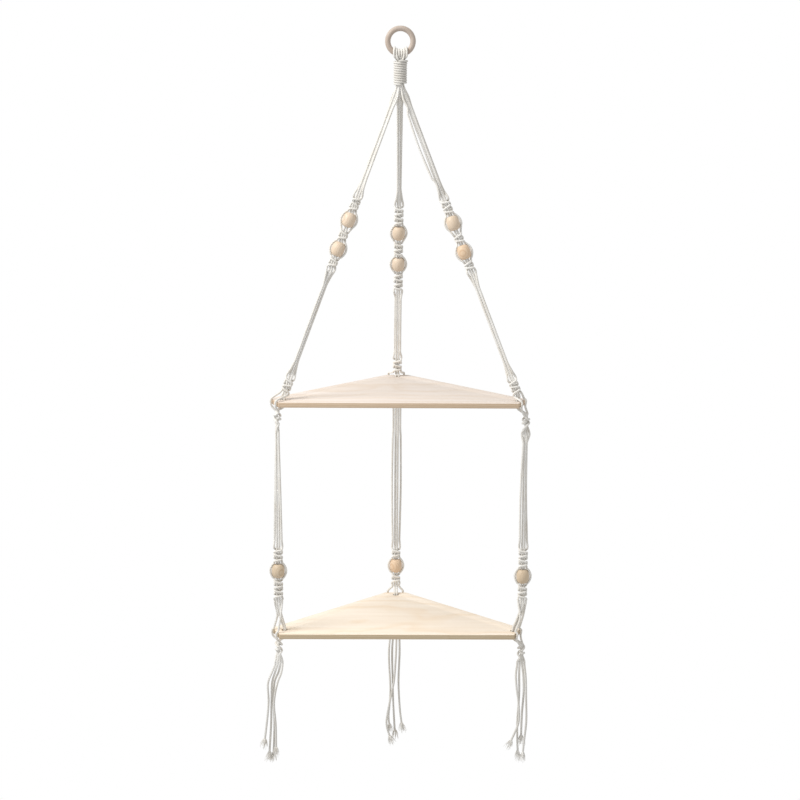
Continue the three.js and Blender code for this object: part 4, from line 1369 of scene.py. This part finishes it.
# %% [markdown]
# ## A joiner's tools
# The wooden pieces are made with a few tools: a saw that bisects, a lathe that spins a profile
# round an axis, and modifiers that are applied at once, so that each step can be seen in the mesh.
# A spun mesh has a double row of points where it closes, so they are merged, and its faces may
# point inwards, so its normals are worked out again.

# %% Tools for wood
MERGE_WITHIN = 1e-6


def deselect_all():
    bpy.ops.object.select_all(action="DESELECT")


def work_on(piece):
    deselect_all()
    piece.select_set(True)
    bpy.context.view_layer.objects.active = piece


def apply_modifier(piece, kind, **settings):
    work_on(piece)
    modifier = piece.modifiers.new(kind.lower(), kind)
    for key, value in settings.items():
        setattr(modifier, key, value)
    bpy.ops.object.modifier_apply(modifier=modifier.name)


def saw(place, outward):
    """Cuts the mesh in edit mode along a plane and throws away what lies outward of it."""
    bpy.ops.mesh.select_all(action="SELECT")
    bpy.ops.mesh.bisect(
        plane_co=[x * MM for x in place], plane_no=outward, use_fill=True, clear_outer=True
    )


def profile_of(name, points, closed=False):
    """A chain of edges through the points, in mm, to be spun."""
    count = len(points)
    edges = [(i, (i + 1) % count) for i in range(count if closed else count - 1)]
    mesh = bpy.data.meshes.new(name)
    mesh.from_pydata([[x * MM for x in point] for point in points], edges, [])
    return add_piece(name, mesh)


def turn_on_lathe(piece, centre, axis, steps):
    """Spins the profile once round the axis, closes the seam and turns the faces outwards."""
    work_on(piece)
    bpy.ops.object.mode_set(mode="EDIT")
    bpy.ops.mesh.select_all(action="SELECT")
    bpy.ops.mesh.spin(steps=steps, angle=2 * math.pi, center=[x * MM for x in centre], axis=axis)
    bpy.ops.mesh.select_all(action="SELECT")
    bpy.ops.mesh.remove_doubles(threshold=MERGE_WITHIN)
    bpy.ops.mesh.normals_make_consistent(inside=False)
    bpy.ops.object.mode_set(mode="OBJECT")


def finish_in(piece, *finishes):
    piece.data.materials.clear()
    for finish in finishes:
        piece.data.materials.append(finish)


def fit_in(piece, node, body, slot):
    """The piece moves with its body and takes its node's place. `slot` is not used."""
    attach(piece, body)
    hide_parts(node)


print("tools:", ", ".join(tool.__name__ for tool in (saw, turn_on_lathe, finish_in, fit_in)))

# %% [markdown]
# ## A hole for the cords
# A drilled hole is sanded a little at both rims, so that it doesn't cut the cord. A bevel on the
# round edge would be hard to pick out. So the drill itself flares at both faces, and one boolean
# gives the hole and its eased rims.

# %% Bore a hole
HOLE_ROUND = 0.8
DRILL_OVER = 2.0
DRILL_FLARE = 1.2
DRILL_STEPS = 40
RIM_SHARE = 0.3


def bore_hole(board, hole, top):
    """A drill with a flared collar at each face, so that the hole's rims come out eased."""
    radius = CORD_HOLE / 2
    profile = [
        (0.0, DRILL_OVER),
        (radius + HOLE_ROUND + DRILL_FLARE, DRILL_OVER),
        (radius + HOLE_ROUND, 0.0),
        (radius + RIM_SHARE * HOLE_ROUND, -RIM_SHARE * HOLE_ROUND),
        (radius, -HOLE_ROUND),
    ]
    profile += [(r, -SHELF_THICKNESS - z) for r, z in reversed(profile)]
    drill = profile_of("drill", [(hole[0] + r, hole[1], top + z) for r, z in profile])
    turn_on_lathe(drill, (hole[0], hole[1], top), (0, 0, 1), DRILL_STEPS)
    apply_modifier(board, "BOOLEAN", operation="DIFFERENCE", object=drill, solver="EXACT")
    bpy.data.objects.remove(drill)


print("holes:", CORD_HOLE, "mm, eased by", HOLE_ROUND, "mm")

# %% [markdown]
# ## The boards
# A board is sawn from a flat blank. So a cube is scaled to the blank, the two long sides and the
# two sharp front corners are sawn off with bisect, a small bevel breaks the edges as sandpaper
# would, and the three cord holes are bored with a boolean.

# %% Saw, sand and bore the boards
EDGE_ROUND = 1.0
EDGE_STEPS = 3
SHADED_EDGE_STEEPNESS = 0.6
SMOOTH_UNDER = math.radians(32)


def saw_blank(name, top):
    """A board's blank with its two long sides and its two front corners sawn off."""
    depth = APEX_Y + RING_SETBACK
    deselect_all()
    bpy.ops.mesh.primitive_cube_add(
        size=1.0,
        location=(0.0, (APEX_Y - depth / 2) * MM, (top - SHELF_THICKNESS / 2) * MM),
        scale=(SHELF_WIDTH * MM, depth * MM, SHELF_THICKNESS * MM),
    )
    board = bpy.context.object
    board.name = f"{name}_board"
    board.data.name = board.name
    bpy.ops.object.transform_apply(location=True, rotation=True, scale=True)
    bpy.ops.object.mode_set(mode="EDIT")
    for hand, corner in ((-1, corners["left"]), (1, corners["right"])):
        saw((hand * CORNER_FLAT / 2, APEX_Y, 0.0), (hand * DIAGONAL, DIAGONAL, 0.0))
        saw(corner["flat"], tuple(corner["outward"]))
    bpy.ops.object.mode_set(mode="OBJECT")
    return board


def make_board(name, body, top, finishes):
    board = saw_blank(name, top)
    apply_modifier(
        board, "BEVEL", width=EDGE_ROUND * MM, segments=EDGE_STEPS, limit_method="ANGLE"
    )
    for corner in corners.values():
        bore_hole(board, corner["hole"], top)
    keep_own_place(board)
    finish_in(board, *finishes)
    # Upright faces take the darker edge finish: the sawn wood's own colour plus painted shade, as they get
    # less light from above
    for polygon in board.data.polygons:
        polygon.material_index = 1 if abs(polygon.normal.z) < SHADED_EDGE_STEEPNESS else 0
    work_on(board)
    bpy.ops.object.shade_smooth_by_angle(angle=SMOOTH_UNDER)
    fit_in(board, name, body, "board_wood")
    return board


upper_board = make_board("upper_shelf", "upper_tier", UPPER_SHELF_TOP, upper_pine)
lower_board = make_board("lower_shelf", "lower_tier", LOWER_SHELF_TOP, lower_pine)
print("boards:", len(upper_board.data.polygons), len(lower_board.data.polygons), "faces")

# %% [markdown]
# ## The ring
# The ring is turned from one piece of beech. A torus primitive would give it ready-made, but on the
# lathe it is a round section that goes once about the ring's axis, so a circle is added where the
# section lies and spun. Its grain runs straight across the ring.

# %% Turn the ring
RING_STEPS = 96
RING_SIDES = 28


def turn_the_ring():
    deselect_all()
    bpy.ops.mesh.primitive_circle_add(
        vertices=RING_SIDES, radius=RING_SECTION / 2 * MM, fill_type="NOTHING",
        location=(RING_CENTRELINE * MM, 0.0, RING_CENTRE_Z * MM),
    )
    turned = bpy.context.object
    turned.name = "wooden_ring_turned"
    turned.data.name = turned.name
    bpy.ops.object.transform_apply(location=True, rotation=True, scale=True)
    turn_on_lathe(turned, (0.0, 0.0, RING_CENTRE_Z), (0, 1, 0), RING_STEPS)
    bpy.ops.object.shade_smooth()
    keep_own_place(turned)
    finish_in(turned, beech)
    fit_in(turned, "wooden_ring", "ring", "ring_wood")
    return turned


print("ring:", len(turn_the_ring().data.polygons), "faces")

# %% [markdown]
# ## The beads
# A bead is turned on a lathe round its bore, so its profile is drawn once and spun. The profile has
# a full belly, eased rims and a straight bore. One bead is modelled upright, and each of the nine
# is a copy, with its own mesh, that is turned to its leg and shows another side of its grain.

# %% Turn the beads
BEAD_BORE = PITCH + CORD_DIAMETER + PIECE_GAP
BEAD_RIM = 0.8
BEAD_RIM_OUT = 0.25
BEAD_RIM_DOWN = 0.05
BEAD_BELLY_SHARES = (0.04, 0.92)
BEAD_STEPS = 18
BEAD_SIDES = 48
BEAD_SMOOTH_UNDER = math.radians(50)
BEAD_SPIN = 2.4
tinted_beads = {
    "middle_bead_right": "warm", "lower_bead_apex": "warm",
    "lower_bead_left": "brown", "lower_bead_right": "brown",
}


def bead_profile():
    """The belly from the lower rim to the upper one, then the rims and the bore, in mm."""
    bore = BEAD_BORE / 2
    half = BEAD_LENGTH / 2
    start, turned = BEAD_BELLY_SHARES
    points = []
    for i in range(BEAD_STEPS + 1):
        angle = math.pi * (start + turned * i / BEAD_STEPS)
        swell = (BEAD_DIAMETER / 2 - bore) * math.sin(angle)
        points.append((bore + swell, 0.0, -half * math.cos(angle)))
    points.append((bore + BEAD_RIM_OUT, 0.0, half - BEAD_RIM_DOWN))
    points.append((bore, 0.0, half - BEAD_RIM))
    points.append((bore, 0.0, BEAD_RIM - half))
    points.append((bore + BEAD_RIM_OUT, 0.0, BEAD_RIM_DOWN - half))
    return points


def turn_a_bead():
    bead = profile_of("bead", bead_profile(), closed=True)
    turn_on_lathe(bead, (0.0, 0.0, 0.0), (0, 0, 1), BEAD_SIDES)
    bpy.ops.object.shade_smooth_by_angle(angle=BEAD_SMOOTH_UNDER)
    keep_own_place(bead)
    return bead


def thread_beads():
    """A copy of the one bead for each place that the legs noted."""
    pattern = turn_a_bead()
    threaded = []
    for leg in (*bridles.values(), *lower_legs.values()):
        for name, centre, down in leg.beads:
            level, corner = name.split("_bead_")
            bead = add_piece(f"{name}_turned", pattern.data.copy())
            bead.data.name = bead.name
            finish_in(bead, bead_woods[tinted_beads.get(name, "pale")])
            turned = Vector((0, 0, -1)).rotation_difference(Vector(down)).to_matrix().to_4x4()
            spun = Matrix.Rotation(BEAD_SPIN * len(threaded), 4, "Z")
            bead.data.transform(Matrix.Translation(Vector(centre) * MM) @ turned @ spun)
            fit_in(bead, name, f"bead_{level}_{corner}", "bead_wood")
            threaded.append(bead.name)
    bpy.data.objects.remove(pattern)
    return threaded


print("beads:", len(thread_beads()))

# %% [markdown]
# ## Floor and light
# The shelf hangs in a white room. The floor lies a good way below it, and fades into the white
# round it. The sky is even, and the camera sees it as plain white, straight or in gloss. A white as
# bright as that would wash out the wood and the cotton, so it lights the shelf with less.

# %% Sky and floor
FLOOR_Z = -1.95
FLOOR_RADIUS = 1.35
FLOOR_SIDES = 96
FADE_FROM = 0.35
FADE_TO = 1.3
FLOOR_GLOW = 0.25
SKY = 0.66
WHITE = (1.0, 1.0, 1.0, 1.0)
FLOOR_GREY = (0.8, 0.8, 0.8, 1.0)


def camera_rays(tree):
    """1 for rays that show the background as it is: straight ones, and ones in gloss or glass."""
    path = add_node(tree, "ShaderNodeLightPath").outputs
    seen = reckon(tree, "MAXIMUM", path["Is Camera Ray"], path["Is Glossy Ray"])
    return reckon(tree, "MAXIMUM", seen, path["Is Transmission Ray"])


def make_world():
    world = bpy.data.worlds.new("white_room")
    world.use_nodes = True
    bpy.context.scene.world = world
    tree = world.node_tree
    shown = add_node(tree, "ShaderNodeBackground", Color=WHITE, Strength=1.0)
    lit = add_node(tree, "ShaderNodeBackground", Color=WHITE, Strength=SKY)
    mixed = add_node(
        tree, "ShaderNodeMixShader", _0=camera_rays(tree), _1=lit.outputs[0], _2=shown.outputs[0]
    )
    tree.links.new(mixed.outputs[0], tree.nodes["World Output"].inputs["Surface"])


def make_floor():
    deselect_all()
    bpy.ops.mesh.primitive_circle_add(
        vertices=FLOOR_SIDES, radius=FLOOR_RADIUS, fill_type="TRIFAN", location=(0, 0, FLOOR_Z)
    )
    floor = bpy.context.object
    floor.name = "floor"
    material = bpy.data.materials.new("floor")
    material.use_nodes = True
    tree = material.node_tree
    tree.nodes.remove(tree.nodes["Principled BSDF"])
    plain = add_node(tree, "ShaderNodeBsdfDiffuse", Color=FLOOR_GREY)
    glow = add_node(tree, "ShaderNodeEmission", Color=WHITE, Strength=1.0)
    place = add_node(tree, "ShaderNodeTexCoord").outputs["Object"]
    far = add_node(tree, "ShaderNodeVectorMath", {"operation": "LENGTH"}, _0=place)
    fade = add_node(
        tree, "ShaderNodeMapRange", {"interpolation_type": "SMOOTHSTEP"},
        Value=far.outputs["Value"], From_Min=FADE_FROM, From_Max=FADE_TO, To_Min=FLOOR_GLOW,
        To_Max=1.0,
    )
    shown = reckon(tree, "MULTIPLY", fade.outputs["Result"], camera_rays(tree))
    mixed = add_node(
        tree, "ShaderNodeMixShader", _0=shown, _1=plain.outputs[0], _2=glow.outputs[0]
    )
    tree.links.new(mixed.outputs[0], tree.nodes["Material Output"].inputs["Surface"])
    floor.data.materials.append(material)
    floor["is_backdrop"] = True
    return floor


make_world()
print("floor at", round(make_floor().location.z, 2), "m, sky at", SKY)

# %% [markdown]
# ## The lamp
# One wide lamp stands to the left, above the ring and a little in front, so that the right sides of
# things are a little darker. A sun would be simpler, but it throws sharp shadows, and a disc of this
# size throws soft ones, as a window does.

# %% The lamp
LAMP_PLACE = (-2.2, -1.0, 1.75)
LAMP_AIM = (0.0, 0.0, -0.6)
LAMP_SIZE = 1.7
LAMP_POWER = 92.0


def add_lamp(name, place, aim, size, power):
    data = bpy.data.lights.new(name, "AREA")
    data.shape = "DISK"
    data.size = size
    data.energy = power
    lamp = bpy.data.objects.new(name, data)
    lamp.location = place
    lamp.rotation_euler = (Vector(aim) - Vector(place)).to_track_quat("-Z", "Y").to_euler()
    bpy.context.scene.collection.objects.link(lamp)


add_lamp("lamp_upper_left", LAMP_PLACE, LAMP_AIM, LAMP_SIZE, LAMP_POWER)
bpy.context.scene.view_settings.view_transform = "Standard"
print("lamp:", LAMP_SIZE, "m wide,", LAMP_POWER, "W")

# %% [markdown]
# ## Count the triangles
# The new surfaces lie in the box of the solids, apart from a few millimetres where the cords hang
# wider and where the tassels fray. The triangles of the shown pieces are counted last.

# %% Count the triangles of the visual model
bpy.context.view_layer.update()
triangles = sum(
    sum(len(p.vertices) - 2 for p in o.data.polygons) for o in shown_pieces() if o.type == "MESH"
)
print("triangles:", triangles)
